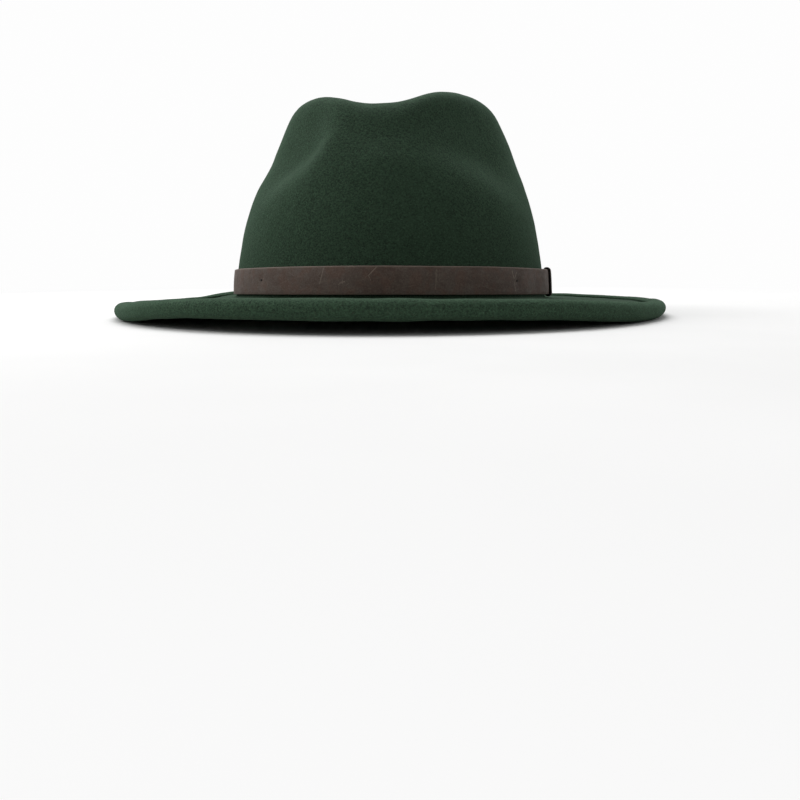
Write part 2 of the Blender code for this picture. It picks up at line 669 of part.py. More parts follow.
# ---------------------------------------------------------------- back bow inside the sweatband
BOW_H, BOW_HALF = 7.6, 13.0             # middle height and half length
BOW_TALL = 3.6                          # half height of the loops
BOW_THIN, BOW_D = 0.35, 1.2             # least depth, and the depth the loops add
BOW_RIDGE = 0.25                        # ridge along the middle height
BOW_PINCH = 0.34                        # share of the size left in the middle
BOW_STEPS = 12
BOW_RADIUS = 98.0                       # turns lengths along the sweatband into angles
BOW_BACK = SWEAT_IN - 0.32              # face of the bow next to the sweatband
KNOT_GAP = 0.35
# distance in from the knot's base, half width, half height
KNOT_RINGS = ((0.0, 1.5, 1.8), (0.5, 1.9, 2.2), (1.1, 1.9, 2.2), (1.6, 1.3, 1.6))


def bow_depth(pinch, fullness=1.0):
    return BOW_THIN + BOW_D * fullness * (0.45 + 0.55 * pinch)


def bow_section(s):
    """Section at s from -1 to 1 along the bow; the two end sections are smaller."""
    height_share, fullness = (1.0, 1.0) if abs(s) < 0.99 else (0.86, 0.4)
    pinch = BOW_PINCH + (1 - BOW_PINCH) * math.sin(min(1.0, abs(s) * 1.25) * math.pi / 2)
    tall = BOW_TALL * pinch * height_share
    front = BOW_BACK - bow_depth(pinch, fullness)
    return wall_section(math.pi - s * BOW_HALF / BOW_RADIUS, (
        (BOW_BACK, BOW_H - tall), (BOW_BACK, BOW_H + tall), (front, BOW_H + tall),
        (front - BOW_RIDGE, BOW_H), (front, BOW_H - tall)))


def knot_sections():
    base = BOW_BACK - bow_depth(BOW_PINCH) - BOW_RIDGE - KNOT_GAP
    return [[off_wall(BOW_H + j * tall, math.pi - i * wide / BOW_RADIUS, base - inward)
             for i, j in CORNERS] for inward, wide, tall in KNOT_RINGS]


bow_sections = [bow_section(-1 + 2 * i / BOW_STEPS) for i in range(BOW_STEPS + 1)]
add_sweep("back_bow_ribbon", bow_sections, bow_mat)
add_sweep("back_bow_knot", knot_sections(), bow_mat)
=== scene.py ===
# A felt hat with a creased crown, a curled brim, a leather hatband with its keeper loop, and a
# sweatband, reed and bow inside.
# It is modelled in millimetres in its own upright frame: +Z up through the crown, the front
# towards -Y, left -X and right +X as seen from in front. Angles round the hat (phi) start at the
# front and grow towards +X. to_world() then tilts it onto the keeper joint's axis, in metres.
import json
import math

import bmesh
import bpy
import numpy as np
from mathutils import Matrix, Vector


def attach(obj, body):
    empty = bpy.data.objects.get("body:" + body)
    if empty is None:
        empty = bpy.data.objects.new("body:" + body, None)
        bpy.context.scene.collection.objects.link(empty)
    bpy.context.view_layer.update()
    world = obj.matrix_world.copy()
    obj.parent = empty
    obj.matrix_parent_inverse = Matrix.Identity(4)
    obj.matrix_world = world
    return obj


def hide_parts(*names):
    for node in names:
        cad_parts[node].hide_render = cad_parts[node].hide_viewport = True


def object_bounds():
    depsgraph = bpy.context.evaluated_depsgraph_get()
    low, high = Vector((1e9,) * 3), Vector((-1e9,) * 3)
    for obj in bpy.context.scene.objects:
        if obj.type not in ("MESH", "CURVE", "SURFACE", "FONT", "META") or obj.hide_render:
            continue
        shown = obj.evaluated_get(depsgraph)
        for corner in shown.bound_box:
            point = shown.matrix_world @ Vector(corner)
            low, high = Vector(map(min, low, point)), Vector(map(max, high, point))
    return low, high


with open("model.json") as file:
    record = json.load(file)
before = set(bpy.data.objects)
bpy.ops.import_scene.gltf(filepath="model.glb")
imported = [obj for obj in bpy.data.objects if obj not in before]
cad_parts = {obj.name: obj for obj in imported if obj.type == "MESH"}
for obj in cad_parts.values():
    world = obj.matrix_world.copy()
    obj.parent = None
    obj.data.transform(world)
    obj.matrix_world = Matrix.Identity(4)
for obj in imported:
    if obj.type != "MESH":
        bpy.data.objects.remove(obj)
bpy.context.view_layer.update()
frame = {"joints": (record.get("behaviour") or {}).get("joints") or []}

scene = bpy.context.scene

# ------------------------------------------------------------ felt sizes, millimetres
FELT_T = 2.3                                # felt thickness
DATUM_Z = 3.8                               # zero height of the brim tables, and camera height

# open crown before creasing: a wall that draws in upwards, then a rounded tip
BASE_A, BASE_B, BASE_H = 86.0, 102.8, 2.0   # half width, half length and height of its foot
SHOULDER_H, TIP_H = 83.5, 108.0             # where the wall turns into the tip, and the tip
DRAW_A, DRAW_B = 21.0, 22.0                 # draw-in at the shoulder, sides and front/back
DRAW_POW_A, DRAW_POW_B = 1.70, 1.38
TIP_SQUARE, TIP_LONG = 6.4, 0.65            # tip squareness, and how its length follows its width
TIP_SPACING = 0.85                          # power that spaces the tip stations
TIP_STEPS, WALL_STEPS = 6, 7

# uneven crown: extra width towards +X, and changes of height towards +X and the back
WIDE_HIGH, NARROW_LOW = 0.030, 0.006
RISE_RIGHT, RISE_BACK = 0.5, -3.0

FILLET = 2.0                                # radius of the break between crown and brim
BRIM_A, BRIM_B = 149.5, 166.0               # brim outline half width and half length
CURL_R = 2.3                                # inside half width of the curled edge
CURL_ARC = math.radians(235)                # how far the edge curls over onto the brim
CURL_STAND = 1.7                            # height of the curl above the brim beside it
DIP = 6.6                                   # width of the dip that runs in under the curl
CURL_A, CURL_B = BRIM_A - FELT_T - CURL_R, BRIM_B - FELT_T - CURL_R   # centre line of the curl

# top and underside of the brim edge: (phi in degrees, height above the datum)
EDGE_TOP = (
    (-165, 1.6), (-150, 1.6), (-137, 0.6), (-128, -1.4), (-119, -4.2), (-105, -5.7), (-90, -6.3),
    (-75, -6.5), (-61, -6.0), (-50, -4.9), (-38, -3.8), (-22, -3.1), (0, -3.2), (18, -3.4),
    (30, -3.8), (38, -4.3), (49, -5.2), (60, -5.4), (74, -4.9), (84, -4.5), (97, -3.9),
    (114, -2.9), (130, -1.9), (155, -0.2), (180, 1.0),
)
EDGE_UNDER = (
    (-150, -7.7), (-135, -8.8), (-120, -9.9), (-105, -11.1), (-90, -12.4), (-76, -14.0),
    (-64, -15.1), (-54, -14.3), (-44, -12.6), (-32, -11.8), (-15, -12.0), (0, -12.1),
    (15, -12.0), (30, -12.5), (45, -14.0), (58, -14.3), (72, -13.0), (90, -10.9), (120, -8.8),
    (150, -7.6), (180, -7.7),
)

# lengthwise dent in the top; front and back are the shares of the depth left at its ends
DENT = dict(depth=26.5, x=-4.3, width=27.5, power=2.6, front=0.43, back=0.40, length=62.0)

# hollows in the crown: two diagonal ones beside the front, and one on the left side.
# axis runs backwards and down; fore is the length forward of the centre where it differs;
# below and above sharpen the two flanks; bend arches the forward half
HOLLOWS = (
    dict(centre=(-53.0, -62.0, 77.0), axis=(-1.0, 1.23, -0.68), length=30.0, fore=22.5,
         width=18.5, depth=8.5, below=1.15, above=0.66, bend=0.45),
    dict(centre=(48.0, -66.0, 80.0), axis=(1.0, 1.16, -0.43), length=34.0, fore=34.0,
         width=23.0, depth=9.6, below=1.15, above=0.70, bend=0.0),
    dict(centre=(-68.0, -18.0, 77.0), axis=(-0.25, 1.0, -0.15), length=34.0, fore=34.0,
         width=21.0, depth=3.5, below=1.15, above=0.8, bend=0.0),
)
HOLLOW_REACH = 30.0                         # how deep into the crown a hollow is felt

# felt mesh: columns round the hat, and rows in each zone from the tip to the edge
FELT_COLS = 320
FELT_ROWS = dict(crown=84, fillet=6, flat=32, dip=10, roll=22)

# ------------------------------------------------------------ sizes of the other pieces
BAND_LOW, BAND_HIGH, BAND_T = 1.6, 14.8, 1.4
BAND_MID = (BAND_LOW + BAND_HIGH) / 2
BAND_LINE_H = BAND_LOW + 6.0                # height at which lengths along the band are taken
BAND_GAP = 0.4                              # band to felt
BAND_LIFT = 1.8                             # extra gap under the keeper
KEEPER_PHI = math.radians(77.0)
KEEPER_W, KEEPER_T, KEEPER_GAP = 13.0, 1.12, 0.35
# tacks: label, phi in degrees, height
TACKS = (
    ("front_left", -46.0, 8.6), ("front_right", 46.3, 8.2),
    ("back_left", -134.0, 8.6), ("back_right", 135.0, 8.6),
)
SWEAT_GAP, SWEAT_T = 1.0, 0.9
SWEAT_LOW, SWEAT_HIGH = -4.4, 33.0
SWEAT_OUTER = -FELT_T - SWEAT_GAP           # offsets of the sweatband's faces from the wall
SWEAT_INNER = SWEAT_OUTER - SWEAT_T
REED_R, REED_OFFSET, REED_H = 0.9, -2.0, -2.9
TAPE_T = 0.4
BOW_H, BOW_HALF = 7.6, 13.0                 # height of the bow's middle, length of one loop
BOW_R = 98.0                                # radius that turns lengths along the bow into phi


# ------------------------------------------------------------ curves
def smooth01(x):
    x = np.clip(x, 0, 1)
    return x * x * (3 - 2 * x)


def closed_curve(table, phi):
    """Smooth closed curve through (degrees, value) pairs in rising order."""
    degrees, values = np.array(table, float).T
    knots = np.concatenate([degrees[-2:] - 360, degrees, degrees[:3] + 360])
    values = np.concatenate([values[-2:], values, values[:3]])
    slopes = np.zeros_like(values)
    slopes[1:-1] = (values[2:] - values[:-2]) / (knots[2:] - knots[:-2])
    wanted = (np.degrees(phi) + 180.0) % 360.0 - 180.0
    i = np.clip(np.searchsorted(knots, wanted, side="right") - 1, 1, len(knots) - 3)
    span = knots[i + 1] - knots[i]
    t = (wanted - knots[i]) / span
    return ((2 * t**3 - 3 * t**2 + 1) * values[i] + (t**3 - 2 * t**2 + t) * span * slopes[i]
            + (-2 * t**3 + 3 * t**2) * values[i + 1] + (t**3 - t**2) * span * slopes[i + 1])


def catmull(points, t):
    """Catmull-Rom through the points, t from 0 to len-1."""
    knots = np.array(points, float)
    first = knots[1].copy()
    first[0:2] *= -1                        # mirrored over the pole keeps the top smooth
    knots = np.vstack([first, knots, 2 * knots[-1] - knots[-2]])
    i = min(int(t), len(points) - 2)
    f = t - i
    a, b, c, d = knots[i:i + 4]
    return 0.5 * (2 * b + (c - a) * f + (2 * a - 5 * b + 4 * c - d) * f * f
                  + (3 * b - a - 3 * c + d) * f**3)


def waves(points, seed, count, shortest, longest):
    """Smooth seeded ripple, about -1 to 1, with wavelengths in the given range."""
    random = np.random.RandomState(seed)
    total = np.zeros(points.shape[:-1])
    for _ in range(count):
        direction = random.normal(size=3)
        direction /= np.linalg.norm(direction)
        length = math.exp(random.uniform(math.log(shortest), math.log(longest)))
        phase = random.uniform(0, 6.283)
        total += np.sin((points @ direction) * (2 * math.pi / length) + phase)
    return total / math.sqrt(count / 2.0) * 0.6


# ------------------------------------------------------------ crown and brim surface
def crown_levels():
    """Stations of the open crown, tip first: (half width, half length, height)."""
    rows = []
    for k in range(TIP_STEPS + 1):
        share = (k / TIP_STEPS) ** TIP_SPACING
        rows.append(((BASE_A - DRAW_A) * share, (BASE_B - DRAW_B) * share ** TIP_LONG,
                     SHOULDER_H + (TIP_H - SHOULDER_H) * (1 - share ** TIP_SQUARE)))
    for k in range(1, WALL_STEPS + 1):
        height = SHOULDER_H + (BASE_H - SHOULDER_H) * k / WALL_STEPS
        rise = max(height - BASE_H, 0.0) / (SHOULDER_H - BASE_H)
        rows.append((BASE_A - DRAW_A * rise ** DRAW_POW_A,
                     BASE_B - DRAW_B * rise ** DRAW_POW_B, height))
    return tuple(rows)


CROWN_LEVELS = crown_levels()
LAST_LEVEL = len(CROWN_LEVELS) - 1


def crown_row(t, phi):
    """Ring of the open crown at station t."""
    half_width, half_length, height = catmull(CROWN_LEVELS, t)
    right = (1 + WIDE_HIGH * smooth01((height - 70) / 35.0)
             - NARROW_LOW * smooth01((60 - height) / 40.0))
    x = abs(half_width) * np.sin(phi) * np.where(np.sin(phi) > 0, right, 1.0)
    y = -abs(half_length) * np.cos(phi)
    lift = (RISE_RIGHT * smooth01((x - 5) / 50.0) * smooth01((height - 55) / 50.0)
            + RISE_BACK * smooth01((y + 40) / 110.0) * smooth01((height - 45) / 60.0))
    return np.stack([x, y, np.full_like(x, height) + lift], -1)


def press_hollow(points, centre, axis, length, fore, width, depth, below, above, bend):
    """Push points inwards round an elongated hollow."""
    centre = np.array(centre)
    axis = np.array(axis) / np.linalg.norm(axis)
    outward = np.array([centre[0] / 60.0**2, centre[1] / 85.0**2, 0.006])
    outward /= np.linalg.norm(outward)
    across = np.cross(axis, outward)
    across /= np.linalg.norm(across)
    if across[2] < 0:
        across = -across
    offset = points - centre
    u = offset @ axis
    u = np.where(u < 0, u / fore, u / length)
    v = offset @ across / width - bend * np.minimum(u, 0.0) ** 2
    v = np.where(v < 0, v * below, v * above)
    w = offset @ outward / HOLLOW_REACH
    falloff = np.exp(-np.abs(u) ** 2.4 - np.abs(v) ** 2.2 - np.abs(w) ** 3)
    return points - depth * falloff[..., None] * outward


def crease(points):
    """Press the hollows and then the lengthwise dent into the open crown."""
    for hollow in HOLLOWS:
        points = press_hollow(points, **hollow)
    x, y, z = points[..., 0], points[..., 1], points[..., 2]
    back = y / DENT["length"]
    along = np.where(back < 0, 1 - (1 - DENT["front"]) * smooth01(-back * 0.95),
                     1 - (1 - DENT["back"]) * smooth01(back * 0.95))
    width = DENT["width"] * (1 - 0.18 * smooth01(-back))
    across = np.exp(-np.abs((x - DENT["x"]) / width) ** DENT["power"])
    near_top = smooth01((z - 58.0) / 34.0)
    return np.stack([x, y, z - DENT["depth"] * along * across * near_top], -1)


def brim_row(zone, f, phi):
    """Ring on the brim's top face, a share f of the way through a zone."""
    top = closed_curve(EDGE_TOP, phi) + DATUM_Z
    under = closed_curve(EDGE_UNDER, phi) + DATUM_Z
    middle = (top + under) / 2
    curl_rise = (top - under) / 2 - FELT_T
    beside = top - CURL_STAND
    base_a, base_b, base_z = CROWN_LEVELS[-1]
    if zone == "fillet":
        turn = f * math.pi / 2
        out = FILLET * (1 - math.cos(turn))
        half_width, half_length = base_a + out, base_b + out
        z = np.full_like(phi, base_z - FILLET * math.sin(turn))
    elif zone == "flat":
        start_a, start_b = base_a + FILLET, base_b + FILLET
        half_width = start_a + (CURL_A - DIP - start_a) * f
        half_length = start_b + (CURL_B - DIP - start_b) * f
        z = beside * (1 - (1 - f) ** 1.6)
    elif zone == "dip":
        # cubic curve from the brim down to the bottom of the curl
        q = 1 - f
        out = -DIP * q**3 + 3 * q * q * f * (-DIP + 1.9) + 3 * q * f * f * -2.6
        half_width, half_length = CURL_A + out, CURL_B + out
        z = (beside * q**3 + 3 * q * q * f * (beside - 0.3)
             + (3 * q * f * f + f**3) * (middle - curl_rise))
    else:
        turn = f * CURL_ARC
        out = CURL_R * math.sin(turn)
        half_width, half_length = CURL_A + out, CURL_B + out
        z = middle - curl_rise * math.cos(turn)
    return np.stack([half_width * np.sin(phi), -half_length * np.cos(phi), z], -1)


# ------------------------------------------------------------ wall of the crown
WALL_T = np.linspace(0.0, LAST_LEVEL, 1300)
WALL_H = np.array([catmull(CROWN_LEVELS, t)[2] for t in WALL_T])


def wall(height, phi):
    """Points on the uncreased wall; below its foot the wall goes straight down."""
    phi = np.atleast_1d(np.asarray(phi, float))
    t = float(np.interp(-max(height, BASE_H), -WALL_H, WALL_T))
    points = crown_row(t, phi)
    points[..., 2] = height
    return points


def wall_out(height, phi):
    """Level outward normals of the wall."""
    phi = np.atleast_1d(np.asarray(phi, float))
    step = 1e-3
    along = wall(height, phi + step) - wall(height, phi - step)
    normal = np.stack([along[..., 1], -along[..., 0], np.zeros_like(along[..., 0])], -1)
    return normal / np.linalg.norm(normal, axis=-1, keepdims=True)


def off_wall(height, phi, offset):
    """Points an offset out from the wall (negative is inside)."""
    return wall(height, phi) + wall_out(height, phi) * np.atleast_1d(offset)[..., None]


def wall_rings(phis, section):
    """A section of (offset, height) pairs set up at every phi."""
    return np.stack([off_wall(height, phis, offset) for offset, height in section], axis=1)


TACK_POINTS = [wall(height, math.radians(degrees))[0] for _, degrees, height in TACKS]


def tack_pull(points, depth, width):
    """How far each point is drawn in round the tacks."""
    pull = np.zeros(points.shape[:-1])
    for tack in TACK_POINTS:
        pull += depth * np.exp(-((points - tack) ** 2).sum(-1) / (2 * width * width))
    return pull


# arc length along the band's outer face, from the front
LINE_PHI = np.linspace(-math.pi, math.pi, 3601)
_line = off_wall(BAND_LINE_H, LINE_PHI, BAND_GAP + BAND_T)
LINE_RUN = np.concatenate([[0], np.cumsum(np.linalg.norm(np.diff(_line, axis=0), axis=-1))])
LINE_RUN -= np.interp(0.0, LINE_PHI, LINE_RUN)


def run_at(phi):
    return np.interp(phi, LINE_PHI, LINE_RUN)


# ------------------------------------------------------------ resting pose
joint = frame["joints"][0]


def rest_matrix():
    """The turn that takes the hat's upright to the joint's axis, with no twist about it."""
    axis = np.array(joint["axis"], float)
    axis /= np.linalg.norm(axis)
    turn_y = math.atan2(axis[0], math.hypot(axis[1], axis[2]))
    turn_x = math.atan2(axis[1], axis[2])
    for _ in range(40):
        rest = np.array(Matrix.Rotation(turn_y, 3, 'Y') @ Matrix.Rotation(-turn_x, 3, 'X'))
        error = rest @ np.array([0, 0, 1.0]) - axis
        turn_y -= error[0]
        turn_x -= error[1]
    return rest


def circle_centre(a, b, c):
    """Centre, in plan, of the circle through three points."""
    (ax, ay), (bx, by), (cx, cy) = a[:2], b[:2], c[:2]
    a2, b2, c2 = ax * ax + ay * ay, bx * bx + by * by, cx * cx + cy * cy
    d = 2 * (ax * (by - cy) + bx * (cy - ay) + cx * (ay - by))
    return np.array([(a2 * (by - cy) + b2 * (cy - ay) + c2 * (ay - by)) / d,
                     (a2 * (cx - bx) + b2 * (ax - cx) + c2 * (bx - ax)) / d, 0.0])


# circle that fits the wall at the keeper; the joint sits at its centre
_near = [wall(BAND_LINE_H, KEEPER_PHI + turn)[0] for turn in (-0.08, 0.0, 0.08)]
ARC = circle_centre(*_near)
KEEPER_DIR = math.atan2(_near[1][1] - ARC[1], _near[1][0] - ARC[0])
REST = rest_matrix()
SHIFT = np.array(joint["pos_m"]) * 1000.0 - REST @ np.array([ARC[0], ARC[1], BAND_MID])


def to_world(points):
    return (np.asarray(points, float) @ REST.T + SHIFT) / 1000.0


# ------------------------------------------------------------ mesh helpers
def add_piece(name, mesh, material, replaces, body="hat", uv=None, uv_name="strap",
              sharp=None):
    """Object from (points, faces) in millimetres; edges over `sharp` degrees stay hard."""
    points, faces = mesh
    me = bpy.data.meshes.new(name)
    me.from_pydata([tuple(p) for p in to_world(points)], [], faces)
    if uv is not None:
        layer = me.uv_layers.new(name=uv_name)
        corners = np.zeros(len(me.loops), np.int32)
        me.loops.foreach_get("vertex_index", corners)
        layer.data.foreach_set("uv", np.asarray(uv, np.float32)[corners].ravel())
    bm = bmesh.new()
    bm.from_mesh(me)
    bmesh.ops.recalc_face_normals(bm, faces=bm.faces)
    if bm.calc_volume(signed=True) < 0:
        bmesh.ops.reverse_faces(bm, faces=bm.faces)
    bm.to_mesh(me)
    bm.free()
    me.shade_smooth()
    if sharp:
        me.set_sharp_from_angle(angle=math.radians(sharp))
    me.materials.append(material)
    piece = bpy.data.objects.new(name, me)
    scene.collection.objects.link(piece)
    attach(piece, body)
    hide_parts(replaces)


def sweep(rings, closed):
    """Join equal rings of points; open runs get fan caps."""
    rings = np.asarray(rings, float)
    n, m = rings.shape[:2]
    points = list(rings.reshape(-1, 3))
    faces = []
    for i in range(n if closed else n - 1):
        j = (i + 1) % n
        for k in range(m):
            l = (k + 1) % m
            faces.append((i * m + k, i * m + l, j * m + l, j * m + k))
    if not closed:
        for end in (0, n - 1):
            centre = len(points)
            points.append(rings[end].mean(axis=0))
            for k in range(m):
                a, b = end * m + k, end * m + (k + 1) % m
                faces.append((centre, b, a) if end == 0 else (centre, a, b))
    return points, faces


def joined(parts):
    """One mesh from several."""
    points, faces = [], []
    for part_points, part_faces in parts:
        base = len(points)
        points += part_points
        faces += [tuple(base + i for i in face) for face in part_faces]
    return points, faces


def tube(path, radius, sides):
    """Open round tube, narrowed at both ends."""
    path = np.asarray(path, float)
    last = len(path) - 1
    rings = []
    for i, point in enumerate(path):
        along = path[min(i + 1, last)] - path[max(i - 1, 0)]
        along /= np.linalg.norm(along)
        guide = np.array([0.0, 0.0, 1.0]) if abs(along[2]) < 0.9 else np.array([1.0, 0.0, 0.0])
        u = np.cross(along, guide)
        u /= np.linalg.norm(u)
        w = np.cross(u, along)
        size = radius * 0.45 if i in (0, last) else radius
        rings.append([point + size * (math.cos(turn) * u + math.sin(turn) * w)
                      for turn in np.linspace(0, 2 * math.pi, sides + 1)[:-1]])
    return sweep(rings, closed=False)


def rounded_rect(width, height, radius, steps):
    """Points round a rectangle with rounded corners, centred on 0."""
    x, y = width / 2 - radius, height / 2 - radius
    points = []
    for cx, cy, start in ((x, y, 0), (-x, y, 90), (-x, -y, 180), (x, -y, 270)):
        for i in range(steps + 1):
            turn = math.radians(start + 90.0 * i / steps)
            points.append((cx + radius * math.cos(turn), cy + radius * math.sin(turn)))
    return points


def refine(outline, pieces):
    """Cut the sides longer than 3 mm into pieces, so that they can follow a curve."""
    points = []
    for (ax, ay), (bx, by) in zip(outline, outline[1:] + outline[:1]):
        count = pieces if max(abs(ax - bx), abs(ay - by)) > 3 else 1
        for q in range(count):
            points.append((ax + (bx - ax) * q / count, ay + (by - ay) * q / count))
    return points


def arch(q, power=0.5):
    """Rise of a thread over its length: 0 at both ends, 1 in the middle."""
    return math.sin(math.pi * q) ** power


# ------------------------------------------------------------ material helpers
def scaled(colour, factor):
    """Colour times one factor, or one factor per channel."""
    return tuple(float(v) for v in np.array(colour) * factor)


class Graph:
    """Builds nodes in a shader tree."""

    def __init__(self, tree):
        self.tree = tree

    def node(self, kind, **settings):
        node = self.tree.nodes.new(kind)
        for key, value in settings.items():
            setattr(node, key, value)
        return node

    def feed(self, socket, value):
        """Link a socket's value in, or set a plain one; colours get an alpha of 1."""
        if isinstance(value, bpy.types.NodeSocket):
            self.tree.links.new(value, socket)
        elif isinstance(value, tuple) and socket.type == 'RGBA':
            socket.default_value = (*value[:3], 1.0)
        else:
            socket.default_value = value

    def split(self, vector):
        node = self.node("ShaderNodeSeparateXYZ")
        self.feed(node.inputs[0], vector)
        return node.outputs

    def ramp(self, value, low, high, out_low=0.0, out_high=1.0):
        """Smooth step from out_low at low to out_high at high."""
        node = self.node("ShaderNodeMapRange", interpolation_type='SMOOTHSTEP')
        self.feed(node.inputs["Value"], value)
        node.inputs["From Min"].default_value = low
        node.inputs["From Max"].default_value = high
        node.inputs["To Min"].default_value = out_low
        node.inputs["To Max"].default_value = out_high
        return node.outputs["Result"]

    def mix_shader(self, factor, first, second):
        node = self.node("ShaderNodeMixShader")
        for socket, value in zip(node.inputs, (factor, first, second)):
            self.feed(socket, value)
        return node.outputs[0]


class Material(Graph):
    """A material and the nodes that feed its principled shader."""

    def __init__(self, name):
        self.material = bpy.data.materials.new(name)
        self.material.use_nodes = True
        super().__init__(self.material.node_tree)
        self.shader = self.tree.nodes["Principled BSDF"]

    def shade(self, inputs):
        for key, value in inputs.items():
            self.feed(self.shader.inputs[key], value)

    def coords(self):
        return self.node("ShaderNodeTexCoord").outputs["Object"]

    def uv(self, name="strap"):
        return self.node("ShaderNodeUVMap", uv_map=name).outputs["UV"]

    def noise(self, vector, scale, detail=3.0, rough=0.55, stretch=None):
        if stretch:
            mapping = self.node("ShaderNodeMapping")
            self.feed(mapping.inputs["Vector"], vector)
            mapping.inputs["Scale"].default_value = stretch
            vector = mapping.outputs["Vector"]
        node = self.node("ShaderNodeTexNoise")
        self.feed(node.inputs["Vector"], vector)
        node.inputs["Scale"].default_value = scale
        node.inputs["Detail"].default_value = detail
        node.inputs["Roughness"].default_value = rough
        return node.outputs["Fac"]

    def voronoi(self, vector, scale):
        node = self.node("ShaderNodeTexVoronoi")
        self.feed(node.inputs["Vector"], vector)
        node.inputs["Scale"].default_value = scale
        return node.outputs["Distance"]

    def calc(self, operation, first, second=0.0, clamp=False):
        node = self.node("ShaderNodeMath", operation=operation, use_clamp=clamp)
        for socket, value in zip(node.inputs, (first, second, 0.0)):
            self.feed(socket, value)
        return node.outputs[0]

    def times(self, first, second, clamp=False):
        return self.calc('MULTIPLY', first, second, clamp)

    def plus(self, first, second, clamp=False):
        return self.calc('ADD', first, second, clamp)

    def weighted(self, *terms):
        """Sum of (value, weight) terms."""
        total = self.times(*terms[0])
        for term in terms[1:]:
            total = self.plus(total, self.times(*term))
        return total

    def vector(self, operation, first, second=None, scale=None):
        node = self.node("ShaderNodeVectorMath", operation=operation)
        self.feed(node.inputs[0], first)
        if second is not None:
            self.feed(node.inputs[1], second)
        if scale is not None:
            self.feed(node.inputs["Scale"], scale)
        scalar = operation in ('DOT_PRODUCT', 'DISTANCE')
        return node.outputs["Value" if scalar else "Vector"]

    def mix(self, factor, first, second):
        node = self.node("ShaderNodeMix", data_type='RGBA')
        for index, value in ((0, factor), (6, first), (7, second)):
            self.feed(node.inputs[index], value)
        return node.outputs[2]

    def tint(self, base, colour, mask, amount):
        """Lay a colour over the base where the mask is 1, at a given strength."""
        return self.mix(self.times(mask, amount), base, colour)

    def bump(self, height, distance, strength):
        node = self.node("ShaderNodeBump")
        node.inputs["Distance"].default_value = distance
        node.inputs["Strength"].default_value = strength
        self.feed(node.inputs["Height"], height)
        return node.outputs["Normal"]

    def segment(self, uv, start, end, width):
        """1 on a short stroke between two points of the UV plane, 0 away from it."""
        dx, dy = end[0] - start[0], end[1] - start[1]
        square = dx * dx + dy * dy
        offset = self.vector('SUBTRACT', uv, (*start, 0))
        share = self.vector('DOT_PRODUCT', offset, (dx / square, dy / square, 0))
        share = self.times(share, 1.0, clamp=True)
        nearest = self.vector('SCALE', (dx, dy, 0), scale=share)
        return self.ramp(self.vector('DISTANCE', offset, nearest), low=width, high=0.0)


# ------------------------------------------------------------ materials
FELT_DARK, FELT_MID = (0.0165, 0.0280, 0.0185), (0.0420, 0.0810, 0.0480)
FELT_HAIR, FELT_FLECK = (0.0860, 0.1560, 0.0980), (0.058, 0.052, 0.038)
CURL_PAINTED_LIGHT = 0.30                            # how much paler the outside of the curl is painted, as painted bounce light from below

# dark, middle and light tones
BAND_TONES = ((0.1020, 0.0690, 0.0560), (0.1280, 0.0990, 0.0840), (0.1620, 0.1320, 0.1100))
KEEPER_TONES = [scaled(tone, 0.95) for tone in BAND_TONES]
SWEAT_TONES = ((0.060, 0.034, 0.020), (0.090, 0.053, 0.031), (0.125, 0.078, 0.048))
CUT_EDGE = (0.013, 0.010, 0.009)

# scratches on the band: phi in degrees and height of each end, width, strength
BAND_MARKS = (
    (-3.6, 14.2, -6.0, 10.4, 0.34, 0.80), (-6.0, 10.4, -5.3, 8.3, 0.30, 0.62),
    (-6.0, 10.4, -7.0, 9.6, 0.26, 0.45), (-14.6, 7.4, -13.2, 7.7, 0.42, 0.68),
    (-13.9, 8.4, -13.8, 6.8, 0.30, 0.55), (-15.2, 6.4, -14.1, 7.3, 0.26, 0.45),
    (-12.6, 6.2, -11.8, 7.0, 0.26, 0.35), (-20.1, 13.8, -21.2, 6.8, 0.40, 0.55),
    (-21.0, 12.0, -22.1, 10.2, 0.26, 0.30), (14.6, 12.8, 14.2, 4.4, 0.62, 0.42),
    (15.6, 12.2, 15.4, 8.0, 0.34, 0.20), (43.4, 12.8, 44.3, 9.6, 0.46, 0.95),
    (45.8, 12.4, 44.8, 9.6, 0.42, 0.90), (44.6, 7.4, 45.1, 3.4, 0.44, 0.90),
    (-44.2, 9.8, -45.3, 9.0, 0.3, 0.5), (-46.8, 7.6, -47.6, 6.6, 0.26, 0.32),
    (-33.0, 12.2, -30.5, 10.4, 0.28, 0.30), (-36.0, 7.0, -32.6, 9.0, 0.26, 0.26),
    (30.0, 5.8, 33.5, 4.6, 0.28, 0.26), (4.0, 5.1, 7.5, 5.9, 0.26, 0.24),
    (-27.6, 4.2, -25.4, 5.0, 0.26, 0.28), (24.4, 9.6, 26.0, 8.4, 0.26, 0.22),
    (96.0, 9.6, 102.0, 6.8, 0.32, 0.32), (150.0, 11.6, 147.0, 5.6, 0.34, 0.34),
    (-95.0, 10.6, -91.0, 5.2, 0.34, 0.34), (-160.0, 7.6, -154.0, 9.0, 0.3, 0.3),
    (170.0, 5.8, 174.0, 10.4, 0.3, 0.3),
)
# scratches on the keeper: across and along in millimetres for each end, width, strength
KEEPER_MARKS = (
    (2.0, 12.0, 4.4, 16.5, 0.3, 0.4), (8.0, 20.0, 6.8, 25.0, 0.3, 0.35),
    (9.5, 8.0, 10.2, 12.0, 0.26, 0.3),
)


